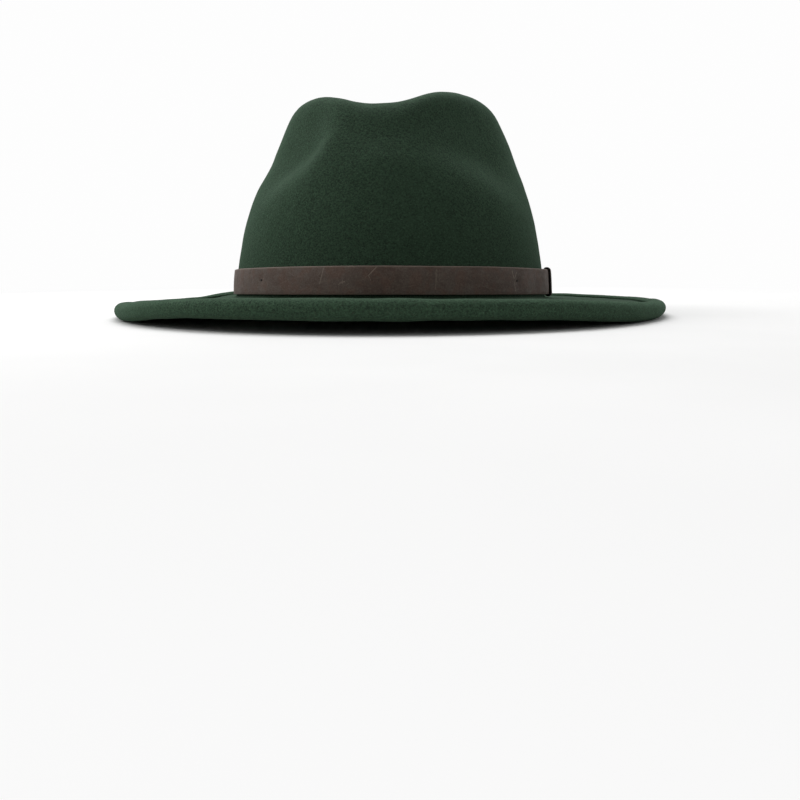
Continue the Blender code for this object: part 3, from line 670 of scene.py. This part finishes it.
def felt_material():
    mat = Material("wool_felt")
    coords = mat.coords()
    curl_light_share = mat.split(mat.uv("felt"))["X"]
    broad = mat.noise(coords, scale=26.0)
    cloud = mat.noise(coords, scale=240.0, detail=4.0, rough=0.62)
    nap = mat.noise(coords, scale=1150.0, rough=0.65)
    # two lays of stretched fibres
    hairs = [mat.noise(coords, scale=1500.0, detail=2.0, rough=0.6, stretch=stretch)
             for stretch in ((0.35, 1.0, 1.6), (1.5, 0.4, 0.9))]
    speck = mat.noise(coords, scale=1900.0, detail=2.0, rough=0.6)
    fleck = mat.noise(coords, scale=1300.0, detail=2.0, rough=0.6, stretch=(1.1, 0.9, 1.0))
    grain = mat.ramp(mat.weighted((nap, 0.60), (speck, 0.40)), low=0.36, high=0.64)
    base = mat.mix(grain, FELT_DARK, FELT_MID)
    base = mat.tint(base, FELT_MID, mat.ramp(cloud, low=0.40, high=0.70), amount=0.07)
    hair_mask = mat.ramp(mat.calc('MAXIMUM', *hairs), low=0.60, high=0.76)
    base = mat.tint(base, FELT_HAIR, hair_mask, amount=0.62)
    base = mat.tint(base, FELT_FLECK, mat.ramp(fleck, low=0.60, high=0.72), amount=0.30)
    base = mat.tint(base, scaled(FELT_MID, 1.20), mat.ramp(broad, low=0.35, high=0.70),
                    amount=0.10)
    # painted bounce light: the felt of the curl is made paler towards its outside
    base = mat.vector('SCALE', base, scale=mat.plus(mat.times(curl_light_share, CURL_PAINTED_LIGHT), 1.0))
    height = mat.weighted((nap, 0.5), (cloud, 0.9), (mat.calc('MAXIMUM', *hairs), 0.6))
    mat.shade({
        "Base Color": base,
        "Roughness": 0.97,
        "Specular IOR Level": 0.10,
        "Sheen Weight": 0.12,
        "Sheen Roughness": 0.40,
        "Sheen Tint": (0.36, 0.68, 0.45),
        "Normal": mat.bump(height, distance=0.00035, strength=0.9),
    })
    return mat.material


def band_wear_and_painted_light(mat, coords, uv, base, light):
    """Band colour made paler near the front as painted light, and along its two edges as wear
    with a painted highlight.
    """
    place = mat.split(uv)
    # painted light: the front of the band is up to a fifth paler, as if more lit there
    front = mat.ramp(mat.calc('ABSOLUTE', place["X"]), low=10.0, high=85.0,
                     out_low=1.20, out_high=1.0)
    base = mat.vector('SCALE', base, scale=front)
    wobble = mat.times(mat.calc('SUBTRACT', mat.noise(coords, scale=160.0), 0.5), 0.5)
    height = mat.plus(place["Y"], wobble)
    # paler rims along both edges: worn cut edges plus a painted highlight where they catch the
    # light
    top = mat.ramp(height, low=BAND_HIGH - 0.75, high=BAND_HIGH - 0.15)
    foot = mat.ramp(height, low=BAND_LOW + 0.75, high=BAND_LOW + 0.15)
    rim = mat.calc('MAXIMUM', top, mat.times(foot, 0.8))
    return mat.tint(base, scaled(light, 1.7), rim, amount=0.45)


def leather(name, tones, rough, marks=(), edge_wear_and_painted_light=False, grain=1.0):
    """Scuffed leather; marks are (u, v, u, v, width, strength) scratches."""
    dark, mid, light = tones
    mat = Material(name)
    coords, uv = mat.coords(), mat.uv()
    blotch = mat.noise(coords, scale=55.0, detail=4.0, rough=0.6)
    fine = mat.noise(coords, scale=420.0, detail=4.0, rough=0.65)
    pores = mat.voronoi(coords, scale=1900.0)
    streak = mat.noise(uv, scale=0.16, detail=4.0, rough=0.65, stretch=(0.9, 2.6, 1.0))
    ruddy = mat.noise(coords, scale=150.0, rough=0.6)
    fleck = mat.noise(coords, scale=1300.0, detail=2.0, rough=0.6)
    base = mat.mix(mat.ramp(blotch, low=0.32, high=0.72), dark, mid)
    base = mat.tint(base, light, mat.ramp(streak, low=0.46, high=0.72), amount=0.55)
    base = mat.tint(base, mid, mat.ramp(fine, low=0.45, high=0.75), amount=0.30)
    base = mat.tint(base, scaled(dark, (1.38, 1.16, 1.08)),
                    mat.ramp(ruddy, low=0.44, high=0.62), amount=0.48)
    base = mat.tint(base, scaled(light, 1.25), mat.ramp(fleck, low=0.50, high=0.70),
                    amount=0.28)
    base = mat.tint(base, scaled(dark, 0.62), mat.ramp(fleck, low=0.48, high=0.34),
                    amount=0.30)
    # thin random scuffs along a contour of a stretched noise, then the placed scratches
    contour = mat.noise(uv, scale=0.42, rough=0.6, stretch=(3.2, 0.55, 1.0))
    contour = mat.calc('ABSOLUTE', mat.calc('SUBTRACT', contour, 0.52))
    patches = mat.noise(coords, scale=90.0, detail=2.0)
    scuff = mat.times(mat.ramp(contour, low=0.012, high=0.0),
                      mat.ramp(patches, low=0.50, high=0.66))
    mark = mat.times(scuff, 0.25)
    for u0, v0, u1, v1, width, strength in marks:
        stroke = mat.segment(uv, (u0, v0), (u1, v1), width)
        mark = mat.calc('MAXIMUM', mark, mat.times(stroke, strength))
    broken = mat.noise(coords, scale=900.0, detail=2.0)
    rubbed = mat.times(mark, mat.ramp(broken, low=0.22, high=0.54))
    base = mat.tint(base, scaled(light, 2.1), rubbed, amount=0.75)
    if edge_wear_and_painted_light:
        base = band_wear_and_painted_light(mat, coords, uv, base, light)
    roughness = mat.ramp(fine, low=0.3, high=0.7, out_low=rough - 0.07, out_high=rough + 0.10)
    height = mat.weighted((pores, 0.35 * grain), (fine, 0.8 * grain))
    height = mat.calc('SUBTRACT', height, mat.times(mark, 0.5))
    mat.shade({
        "Base Color": base,
        "Roughness": mat.plus(roughness, mat.times(rubbed, 0.2), clamp=True),
        "Specular IOR Level": 0.14,
        "Normal": mat.bump(height, distance=0.00018, strength=0.8),
    })
    return mat


def band_material():
    marks = [(float(run_at(math.radians(d0))), h0, float(run_at(math.radians(d1))), h1, *rest)
             for d0, h0, d1, h1, *rest in BAND_MARKS]
    return leather("hatband_leather", BAND_TONES, rough=0.56, marks=marks,
                   edge_wear_and_painted_light=True).material


def keeper_material():
    """The band's leather a little darker, with dark cut edges."""
    mat = leather("keeper_leather", KEEPER_TONES, rough=0.56, marks=KEEPER_MARKS)
    across = mat.split(mat.uv())["X"]
    edge = mat.calc('MAXIMUM', mat.ramp(across, low=0.42, high=0.10),
                    mat.ramp(across, low=KEEPER_W - 0.42, high=KEEPER_W - 0.10))
    base = mat.shader.inputs["Base Color"].links[0].from_socket
    mat.shade({"Base Color": mat.mix(edge, base, CUT_EDGE)})
    return mat.material


def cloth_material(name, dark, light, scale, rough, weave=(1.0, 1.0, 1.0)):
    mat = Material(name)
    coords = mat.coords()
    fibre = mat.noise(coords, scale=scale, detail=2.0, rough=0.6, stretch=weave)
    cloud = mat.noise(coords, scale=scale * 0.12, rough=0.6)
    bands = mat.node("ShaderNodeTexWave", wave_type='BANDS', bands_direction='Z',
                     wave_profile='SIN')
    mat.feed(bands.inputs["Vector"], coords)
    bands.inputs["Scale"].default_value = 420.0
    bands.inputs["Distortion"].default_value = 0.6
    threads = mat.weighted((fibre, 0.6), (bands.outputs["Fac"], 0.4))
    base = mat.mix(mat.ramp(threads, low=0.3, high=0.75), dark, light)
    base = mat.tint(base, light, mat.ramp(cloud, low=0.4, high=0.7), amount=0.3)
    mat.shade({
        "Base Color": base,
        "Roughness": rough,
        "Sheen Weight": 0.12,
        "Normal": mat.bump(threads, distance=0.00015, strength=0.8),
    })
    return mat.material


def plastic_material(name, colour):
    mat = Material(name)
    cloud = mat.noise(mat.coords(), scale=300.0)
    mat.shade({
        "Base Color": mat.mix(mat.ramp(cloud, low=0.3, high=0.7), scaled(colour, 0.9), colour),
        "Roughness": mat.ramp(cloud, low=0.3, high=0.7, out_low=0.32, out_high=0.45),
        "Normal": mat.bump(cloud, distance=0.00005, strength=0.4),
    })
    return mat.material


# ------------------------------------------------------------ felt body
def felt_top(phi):
    """Rows of the felt's top face and their outward normals."""
    rows = []
    for zone, count in FELT_ROWS.items():
        for i in range(1, count + 1):
            if zone == "crown":
                rows.append(crease(crown_row(LAST_LEVEL * i / count, phi)))
            else:
                rows.append(brim_row(zone, i / count, phi))
    rows = np.array(rows)
    wrapped = np.concatenate([rows[:, -1:], rows, rows[:, :1]], axis=1)
    normals = np.cross(np.gradient(wrapped, axis=0), np.gradient(wrapped, axis=1))[:, 1:-1]
    return rows, normals / np.linalg.norm(normals, axis=-1, keepdims=True)


def felt_rim(top, under):
    """Rows of the rounded raw edge, from the top face round to the underside."""
    middle, half = (top[-1] + under[-1]) / 2, (top[-1] - under[-1]) / 2
    along = top[-1] - top[-2]
    along /= np.linalg.norm(along, axis=-1, keepdims=True)
    radius = np.linalg.norm(half, axis=-1, keepdims=True)
    ragged = waves(middle, seed=14, count=12, shortest=2.5, longest=9.0)
    reach = along * radius * 0.80 * (1 + 0.10 * ragged)[..., None]
    rim = []
    for i in range(1, 8):
        turn = math.pi * i / 8
        flat = math.copysign(abs(math.cos(turn)) ** 0.8, math.cos(turn))
        rim.append(middle + half * flat + reach * math.sin(turn) ** 0.75)
    return rim


def felt_mesh():
    phi = np.linspace(-math.pi, math.pi, FELT_COLS, endpoint=False)
    rows, normals = felt_top(phi)
    crown_end = FELT_ROWS["crown"]
    flat_end = crown_end + FELT_ROWS["fillet"] + FELT_ROWS["flat"]

    # unevenness, held back at the foot of the crown and in the curl
    freedom = smooth01((rows[..., 2] - 14.0) / 14.0) * 0.8 + 0.2
    freedom[crown_end + 3:] = np.maximum(freedom[crown_end + 3:], 0.7)
    freedom[flat_end:] *= 0.25
    soft = (0.22 * waves(rows, seed=11, count=14, shortest=34.0, longest=80.0)
            + 0.07 * waves(rows, seed=12, count=18, shortest=9.0, longest=22.0)) * freedom
    thickness = 1 + 0.06 * waves(rows, seed=13, count=10, shortest=18.0, longest=50.0)
    top = rows + normals * (soft - tack_pull(rows, depth=0.30, width=2.2))[..., None]
    under = top - normals * (FELT_T * thickness)[..., None]
    rim = felt_rim(top, under)
    rings = list(top) + rim + list(under[::-1])

    pole = crease(crown_row(0.0, np.array([0.0])))[0]
    points = [pole, pole - np.array([0, 0, FELT_T])]
    for ring in rings:
        points.extend(ring)
    faces = []
    last = 2 + (len(rings) - 1) * FELT_COLS
    for k in range(FELT_COLS):
        l = (k + 1) % FELT_COLS
        faces.append((0, 2 + k, 2 + l))
        faces.append((1, last + l, last + k))
    for i in range(len(rings) - 1):
        a, b = 2 + i * FELT_COLS, 2 + (i + 1) * FELT_COLS
        for k in range(FELT_COLS):
            l = (k + 1) % FELT_COLS
            faces.append((a + k, b + k, b + l, a + l))

    # U: share of painted bounce light on a row, none on the crown and most on the curl; V: 0 on
    # the top face
    uv = [(0.0, 0.0), (0.0, 1.0)]
    for i in range(len(rings)):
        row = min(i, len(top) - 1, len(rings) - 1 - i)
        curl_light_share = float(smooth01((row - flat_end - 2) / 8.0))
        uv += [(curl_light_share, 0.0 if i < len(top) else 1.0)] * FELT_COLS
    return (points, faces), uv


def build_felt():
    material = felt_material()
    mesh, uv = felt_mesh()
    add_piece("felt_crown_and_brim", mesh, material, replaces="felt_body", uv=uv,
              uv_name="felt")


# ------------------------------------------------------------ leather hatband
def band_lift(phi):
    """Extra gap where the band passes through the keeper."""
    from_keeper = abs((phi - KEEPER_PHI + math.pi) % (2 * math.pi) - math.pi) * 105.0
    return BAND_LIFT * (1 - smooth01((from_keeper - 15.0) / 22.0))


def band_mesh():
    # the ends meet under the keeper, 1 mm apart
    half_gap = 0.5 / 117.0
    phis = np.linspace(KEEPER_PHI + half_gap, KEEPER_PHI + 2 * math.pi - half_gap, 760)
    height = BAND_HIGH - BAND_LOW
    outline = refine(rounded_rect(BAND_T, height, radius=0.42, steps=3), pieces=12)
    section = []
    for x, z in outline:
        pillow = 0.10 * (1 - (z / (height / 2)) ** 2) if x > 0 else 0.0
        section.append((BAND_GAP + band_lift(phis) + BAND_T / 2 + x + pillow, BAND_MID + z))
    points = wall_rings(phis, section)

    outward = wall_out(BAND_MID, phis)[:, None, :]
    ripple = (0.10 * waves(points, seed=21, count=14, shortest=22.0, longest=70.0)
              + 0.035 * waves(points, seed=22, count=14, shortest=4.0, longest=11.0))
    edge = 0.12 * waves(points, seed=23, count=8, shortest=30.0, longest=90.0)
    on_wall = points - outward * (BAND_GAP + BAND_T)
    pull = (tack_pull(on_wall, depth=0.42, width=1.1)
            + tack_pull(on_wall, depth=0.22, width=3.2))
    pull *= np.array([1.0 if x > 0 else 0.4 for x, _ in outline])
    points = points + outward * (np.clip(ripple, -0.25, 0.25) - pull)[..., None]
    points[..., 2] += edge * np.sign(points[..., 2] - BAND_MID) * 0.6

    runs = run_at((phis + math.pi) % (2 * math.pi) - math.pi)
    uv = [(run, BAND_MID + z) for run in runs for _, z in outline]
    uv += [(runs[0], BAND_MID), (runs[-1], BAND_MID)]
    return sweep(points, closed=False), uv


def build_band():
    material = band_material()
    mesh, uv = band_mesh()
    add_piece("hatband_strap", mesh, material, replaces="leather_hatband",
              uv=uv)


# ------------------------------------------------------------ keeper loop
def arc_radius(height):
    """Distance from the fitted circle's centre to the wall at the keeper."""
    point = wall(height, KEEPER_PHI)[0]
    return math.hypot(point[0] - ARC[0], point[1] - ARC[1])


def keeper_mesh():
    # the strip's middle line stands off the band by a clearance and half a thickness,
    # with a smaller half thickness on the inner and lower sides
    clear, half_in, half_out = 0.16, 0.8 / 2, KEEPER_T / 2
    inner = BAND_GAP + BAND_LIFT
    near, far = inner - clear - half_in, inner + BAND_T + clear + half_out
    low, high = BAND_LOW - clear - half_in, BAND_HIGH + clear + half_out
    loop = refine(rounded_rect(far - near, high - low, radius=1.25, steps=7), pieces=14)
    path = []
    for x, z in loop:
        height = (low + high) / 2 + z
        path.append((arc_radius(height) + (near + far) / 2 + x, height))
    path = np.array(path)
    along = np.roll(path, -1, axis=0) - np.roll(path, 1, axis=0)
    along /= np.linalg.norm(along, axis=1, keepdims=True)
    normals = np.stack([along[:, 1], -along[:, 0]], 1)
    runs = np.concatenate([[0], np.cumsum(np.linalg.norm(np.diff(path, axis=0), axis=1))])

    strip = refine(rounded_rect(KEEPER_W, KEEPER_T, radius=0.30, steps=3), pieces=14)
    turn_radius = arc_radius(8.0) + inner + BAND_T + KEEPER_GAP
    rings, uv = [], []
    for point, normal, run in zip(path, normals, runs):
        ring = []
        for across, depth in strip:
            bow = 0.10 * (1 - (across / (KEEPER_W / 2)) ** 2)
            radius, height = point + normal * (depth + bow)
            turn = KEEPER_DIR + across / turn_radius
            ring.append((ARC[0] + radius * math.cos(turn), ARC[1] + radius * math.sin(turn),
                         height))
            # the strip's inner face has its own stretch of V
            uv.append((across + KEEPER_W / 2, run + (0 if depth > 0 else 40)))
        rings.append(ring)
    return sweep(rings, closed=True), uv


def build_keeper():
    mesh, uv = keeper_mesh()
    add_piece("keeper_loop", mesh, keeper_material(),
              replaces="band_keeper_loop", body="keeper", uv=uv)


# ------------------------------------------------------------ tacks
def tack_mesh(degrees, height):
    """Two short crossing-leaning threads lying along the band."""
    phi = math.radians(degrees)
    origin = wall(height, phi)[0]
    up = wall(height + 2, phi)[0] - wall(height - 2, phi)[0]
    up /= np.linalg.norm(up)
    side = np.cross(wall_out(height, phi)[0], up)
    side /= np.linalg.norm(side)
    outward = np.cross(up, side)
    sunk_face = BAND_GAP + BAND_T - 0.62
    threads = []
    for offset, slope in ((-0.22, -0.10), (0.20, 0.10)):
        path = []
        for i in range(9):
            x = -1.0 + 2.0 * i / 8
            rise = 0.50 * arch(i / 8, power=0.6) - 0.55 * abs(x) ** 4
            path.append(origin + side * (x * 0.85) + up * (offset + slope * x)
                        + outward * (sunk_face + rise))
        threads.append(tube(path, radius=0.20, sides=10))
    return joined(threads)


def build_tacks():
    material = cloth_material("waxed_thread", dark=(0.016, 0.012, 0.010),
                              light=(0.040, 0.030, 0.025), scale=2600.0, rough=0.7)
    for label, degrees, height in TACKS:
        add_piece("tack_" + label, tack_mesh(degrees, height), material,
                  replaces="band_tack_" + label)


# ------------------------------------------------------------ sweatband
def upper_share(height):
    """0 low on the sweatband, 1 near its free upper edge."""
    return smooth01((height - 6.0) / 24.0)


def sweat_mesh():
    half_seam = 0.35 / 100.0
    phis = np.linspace(-math.pi + half_seam, math.pi - half_seam, 420)
    levels = list(np.linspace(SWEAT_LOW, SWEAT_HIGH, 26))[1:-1]
    radius = SWEAT_T / 2

    def rounded_end(centre, start):
        turns = [start + math.pi * i / 4 for i in range(5)]
        return [(radius * math.cos(a) - radius, centre + radius * math.sin(a)) for a in turns]

    # (depth from the outer face, height): up the outer face and down the inner one
    section = [(0.0, height) for height in levels]
    section += rounded_end(SWEAT_HIGH - radius, 0.0)
    section += [(-SWEAT_T, height) for height in reversed(levels)]
    section += rounded_end(SWEAT_LOW + radius, math.pi)
    points = wall_rings(phis, [(SWEAT_OUTER + depth, height) for depth, height in section])

    # a soft wander of the free upper edge, never towards the felt
    grow = np.array([upper_share(height) for _, height in section])
    ripple = waves(points, seed=31, count=8, shortest=40.0, longest=120.0)
    wander = np.clip(-0.45 * (0.5 + 0.5 * ripple) * grow, -0.9, 0.0)
    points = points + wall_out(5.0, phis)[:, None, :] * wander[..., None]
    runs = run_at(phis)
    uv = [(run, height) for run in runs for _, height in section]
    uv += [(runs[0], 10.0), (runs[-1], 10.0)]
    return sweep(points, closed=False), uv


def build_sweatband():
    material = leather("sweatband_leather", SWEAT_TONES, rough=0.50, grain=1.4).material
    mesh, uv = sweat_mesh()
    add_piece("sweatband_strip", mesh, material,
              replaces="sweatband", uv=uv)


# ------------------------------------------------------------ reed and tape
def build_reed():
    phis = np.linspace(-math.pi, math.pi, 220, endpoint=False)
    section = [(REED_OFFSET + REED_R * math.cos(a), REED_H + REED_R * math.sin(a))
               for a in np.linspace(0, 2 * math.pi, 15)[:-1]]
    mesh = sweep(wall_rings(phis, section), closed=True)
    add_piece("reed_ring", mesh, plastic_material("reed_plastic", (0.58, 0.56, 0.50)),
              replaces="sweatband_reed")


def tape_outline():
    """(offset, height) round the tape: flat beside the sweatband, then round the reed."""
    round_in = REED_R + 0.32
    round_out = round_in + TAPE_T
    flat_in = SWEAT_OUTER + 0.3
    flat_out = flat_in + TAPE_T
    outer = [(flat_out, height) for height in (6.5, 4.5, 2.5, 0.5)]
    inner = [(flat_in, height) for height in (6.5, 4.5, 2.5, 0.5)]
    for degrees in range(118, -119, -12):
        x, z = math.cos(math.radians(degrees)), math.sin(math.radians(degrees))
        outer.append((max(REED_OFFSET + round_out * x, flat_out - 0.02),
                      REED_H + round_out * z))
        inner.append((max(REED_OFFSET + round_in * x, flat_in), REED_H + round_in * z))
    return inner + outer[::-1]


def build_tape():
    material = cloth_material("reed_tape_weave", dark=(0.018, 0.017, 0.016),
                              light=(0.040, 0.037, 0.034), scale=2200.0, rough=0.92,
                              weave=(1.0, 1.0, 0.25))
    phis = np.linspace(-math.pi, math.pi, 260, endpoint=False)
    mesh = sweep(wall_rings(phis, tape_outline()), closed=True)
    add_piece("reed_tape_fold", mesh, material, replaces="reed_tape", sharp=50)


# ------------------------------------------------------------ stitches
def stitch_row():
    """Ring of stitches low on the sweatband's inner face."""
    count, height, slant = 168, 2.6, 0.12
    pitch = 2 * math.pi / count
    stitches = []
    for i in range(count):
        start, end = -math.pi + pitch * (i + 0.10), -math.pi + pitch * (i + 0.90)
        path = [off_wall(height + slant * (q - 0.5), start + (end - start) * q,
                         SWEAT_INNER - 0.02 - 0.30 * arch(q))[0]
                for q in np.linspace(0, 1, 7)]
        stitches.append(tube(path, radius=0.21, sides=7))
    return joined(stitches)


def seam_zigzag():
    """Zigzag of threads up the sweatband's seam at the back."""
    start, pitch, half_width = 12.5, 1.7, 1.7 / 100.0
    corners = [(start + i * pitch, math.pi - (half_width if i % 2 else -half_width))
               for i in range(11)]
    threads = []
    for (h0, phi0), (h1, phi1) in zip(corners, corners[1:]):
        face = SWEAT_INNER - 0.10 - 0.45 * upper_share(h0)
        path = [off_wall(h0 + (h1 - h0) * q, phi0 + (phi1 - phi0) * q, face - 0.26 * arch(q))[0]
                for q in np.linspace(0.04, 0.96, 6)]
        threads.append(tube(path, radius=0.20, sides=7))
    return joined(threads)


def build_stitches():
    material = cloth_material("sewing_thread", dark=(0.050, 0.034, 0.024),
                              light=(0.105, 0.075, 0.052), scale=3200.0, rough=0.75)
    add_piece("sweatband_stitch_row", stitch_row(), material,
              replaces="sweatband_stitching")
    add_piece("back_seam_zigzag", seam_zigzag(), material,
              replaces="back_seam_thread")


# ------------------------------------------------------------ back bow
def bow_loop(sign):
    """One flat loop of ribbon: out from the knot, round the end and back."""
    thickness, knot, end_r, face = 0.26, 1.2, 0.62, 0.36
    reach = BOW_HALF - 2.0
    # middle line: (distance from the knot, depth in from the sweatband)
    line = [(knot + reach * q, face + 0.16 * math.sin(math.pi * q))
            for q in np.linspace(0, 1, 12)]
    line += [(BOW_HALF - 0.8 + end_r * math.cos(a), face + end_r + end_r * math.sin(a))
             for a in np.linspace(-math.pi / 2, math.pi / 2, 9)[1:-1]]
    line += [(knot + reach * q, 1.05 + 0.30 * q + 0.42 * math.sin(math.pi * q))
             for q in np.linspace(1, 0, 12)]
    line = np.array(line)
    along = np.gradient(line, axis=0)
    along /= np.linalg.norm(along, axis=1, keepdims=True)
    normals = np.stack([-along[:, 1], along[:, 0]], 1)
    section = [(z, 1) for z in np.linspace(-1, 1, 14)]
    section += [(z, -1) for z in np.linspace(1, -1, 14)]
    rings = []
    for (run, depth), normal in zip(line, normals):
        # narrow and crimped at the knot, full height further out
        spread = float(smooth01((run - 0.6) / 7.5))
        half_height = 1.35 + 2.15 * spread
        ring = []
        for z, side in section:
            crimp = 0.10 * math.cos(z * math.pi * 2.0) * (1 - spread)
            half = side * thickness / 2 * math.sqrt(max(0.0, 1 - abs(z) ** 8))
            phi = math.pi - sign * (run + normal[0] * half) / BOW_R
            inward = depth + normal[1] * half + crimp
            ring.append(off_wall(BOW_H + z * half_height, phi, SWEAT_INNER - 0.30 - inward)[0])
        rings.append(ring)
    return sweep(rings, closed=False)


def bow_wrap():
    """The wrap round the knot: a bulging tube with its two ends filled."""
    def squared(value):
        return math.copysign(abs(value) ** 0.7, value)

    around, across = 24, 9
    points = []
    for turn in np.linspace(0, 2 * math.pi, around + 1)[:-1]:
        for x in np.linspace(-1, 1, across):
            bulge = 1 - 0.18 * x * x
            height = 2.0 * squared(math.sin(turn)) * bulge
            depth = (1.30 + 1.05 * squared(math.cos(turn)) * bulge
                     + 0.05 * math.cos(3 * math.pi * x))
            points.append(off_wall(BOW_H + height, math.pi - 1.45 * x / BOW_R,
                                   SWEAT_INNER - 0.42 - depth)[0])
    faces = []
    for i in range(around):
        a, b = i * across, (i + 1) % around * across
        for k in range(across - 1):
            faces.append((a + k, a + k + 1, b + k + 1, b + k))
    for k in (0, across - 1):
        centre = len(points)
        points.append(np.mean([points[i * across + k] for i in range(around)], axis=0))
        for i in range(around):
            faces.append((centre, i * across + k, (i + 1) % around * across + k))
    return points, faces


def build_bow():
    material = cloth_material("bow_grosgrain", dark=(0.016, 0.015, 0.014),
                              light=(0.042, 0.038, 0.035), scale=1800.0, rough=0.8,
                              weave=(0.3, 0.3, 2.0))
    add_piece("back_bow_loops", joined([bow_loop(1), bow_loop(-1)]), material,
              replaces="back_bow_ribbon", sharp=60)
    add_piece("back_bow_wrap", bow_wrap(), material, replaces="back_bow_knot",
              sharp=60)


# ------------------------------------------------------------ studio, metres
BACKDROP = (0.985, 0.985, 0.985)
FLOOR_BOUNCE = (0.66, 0.66, 0.65)           # floor colour for every ray but the camera's
FLOOR_R, FLOOR_SIDES, FLOOR_DROP = 9.0, 64, 0.0002
FLOOR_FADE = (0.24, 0.60)                   # radii between which the floor turns to backdrop

# world light: an even base, plus glows (axis, where each starts, where it is full, strength)
WORLD_BASE = 0.046
WORLD_GLOWS = (
    ("Z", 0.05, 0.95, 0.22),
    ("X", -0.25, -0.95, 0.36),
    ("X", 0.30, 0.95, 0.46),
    ("Y", 0.10, 0.95, 0.55),
)
# area lights: name, location, target, size, watts
LIGHTS = (
    ("key_top", (-0.15, 0.75, 1.45), (0.0, 0.0, 0.05), (1.5, 1.3), 21.0),
    ("fill_front", (-0.95, -1.15, 0.45), (0.0, 0.0, 0.05), (0.9, 0.9), 0.8),
    ("fill_left", (-1.20, 0.05, 0.95), (0.0, 0.0, 0.06), (0.7, 0.7), 7.0),
)
CAMERA_AT = (5.2, -500.0, DATUM_Z)          # millimetres, in the hat's own frame
CAMERA_PITCH = math.radians(7.23)           # looking down
CAMERA_LENS, CAMERA_SENSOR = 38.97, 36.0


def floor_material():
    mat = Material("pale_floor")
    coords = mat.coords()
    camera_ray = mat.node("ShaderNodeLightPath").outputs["Is Camera Ray"]
    cloud = mat.ramp(mat.noise(coords, scale=6.0), low=0.3, high=0.7)
    pale = mat.mix(cloud, (0.90, 0.90, 0.897), (0.93, 0.93, 0.927))
    mat.shade({
        "Base Color": mat.mix(camera_ray, FLOOR_BOUNCE, pale),
        "Roughness": 0.9,
        "Specular IOR Level": 0.1,
    })
    place = mat.split(coords)
    radius = mat.calc('SQRT', mat.plus(mat.calc('POWER', place["X"], 2.0),
                                       mat.calc('POWER', place["Y"], 2.0)))
    far = mat.ramp(radius, *FLOOR_FADE)
    glow = mat.node("ShaderNodeEmission")
    glow.inputs["Color"].default_value = (*BACKDROP, 1.0)
    surface = mat.mix_shader(mat.times(far, camera_ray), mat.shader.outputs[0],
                             glow.outputs[0])
    # seen from underneath, the floor lets the camera through
    below = mat.node("ShaderNodeNewGeometry").outputs["Backfacing"]
    clear = mat.node("ShaderNodeBsdfTransparent").outputs[0]
    surface = mat.mix_shader(mat.times(below, camera_ray), surface, clear)
    mat.feed(mat.tree.nodes["Material Output"].inputs["Surface"], surface)
    return mat.material


def build_floor():
    low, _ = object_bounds()
    z = low.z - FLOOR_DROP
    points = [(0.0, 0.0, z)]
    points += [(FLOOR_R * math.cos(a), FLOOR_R * math.sin(a), z)
               for a in np.linspace(0, 2 * math.pi, FLOOR_SIDES + 1)[:-1]]
    faces = [(0, 1 + i, 1 + (i + 1) % FLOOR_SIDES) for i in range(FLOOR_SIDES)]
    me = bpy.data.meshes.new("studio_floor")
    me.from_pydata(points, [], faces)
    me.materials.append(floor_material())
    floor = bpy.data.objects.new("studio_floor", me)
    scene.collection.objects.link(floor)


def build_world():
    """Directional glows for lighting; the camera sees a plain backdrop."""
    world = bpy.data.worlds.new("studio")
    scene.world = world
    world.use_nodes = True
    graph = Graph(world.node_tree)
    graph.tree.nodes.clear()

    def add(first, second):
        node = graph.node("ShaderNodeMath", operation='ADD')
        graph.feed(node.inputs[0], first)
        graph.feed(node.inputs[1], second)
        return node.outputs[0]

    place = graph.split(graph.node("ShaderNodeTexCoord").outputs["Generated"])
    up, left, right, back = [graph.ramp(place[axis], low=start, high=full, out_high=strength)
                             for axis, start, full, strength in WORLD_GLOWS]
    total = add(add(add(up, left), add(right, back)), WORLD_BASE)
    lighting = graph.node("ShaderNodeBackground")
    graph.feed(lighting.inputs["Strength"], total)
    lighting.inputs["Color"].default_value = (1.0, 1.0, 1.0, 1.0)
    backdrop = graph.node("ShaderNodeBackground")
    backdrop.inputs["Color"].default_value = (*BACKDROP, 1.0)
    camera_ray = graph.node("ShaderNodeLightPath").outputs["Is Camera Ray"]
    surface = graph.mix_shader(camera_ray, lighting.outputs[0], backdrop.outputs[0])
    graph.feed(graph.node("ShaderNodeOutputWorld").inputs["Surface"], surface)


def build_light(name, location, target, size, watts):
    data = bpy.data.lights.new(name, 'AREA')
    data.shape = 'RECTANGLE'
    data.size, data.size_y = size
    data.energy = watts
    light = bpy.data.objects.new(name, data)
    light.location = location
    light.rotation_mode = 'QUATERNION'
    aim = Vector(target) - Vector(location)
    light.rotation_quaternion = aim.to_track_quat('-Z', 'Y')
    scene.collection.objects.link(light)


def build_camera():
    data = bpy.data.cameras.new("camera")
    data.sensor_width = CAMERA_SENSOR
    data.lens = CAMERA_LENS
    data.clip_start, data.clip_end = 0.01, 40.0
    camera = bpy.data.objects.new("camera", data)
    scene.collection.objects.link(camera)
    scene.camera = camera
    forward = REST @ np.array([0, math.cos(CAMERA_PITCH), -math.sin(CAMERA_PITCH)])
    up = REST @ np.array([0, math.sin(CAMERA_PITCH), math.cos(CAMERA_PITCH)])
    right = np.cross(forward, up)
    rows = zip(right, up, -forward, to_world(CAMERA_AT))
    camera.matrix_world = Matrix((*rows, (0, 0, 0, 1)))


# ------------------------------------------------------------ build
build_felt()
build_band()
build_keeper()
build_tacks()
build_sweatband()
build_reed()
build_tape()
build_stitches()
build_bow()
build_floor()
build_world()
for light in LIGHTS:
    build_light(*light)
build_camera()
scene.view_settings.view_transform = 'Standard'
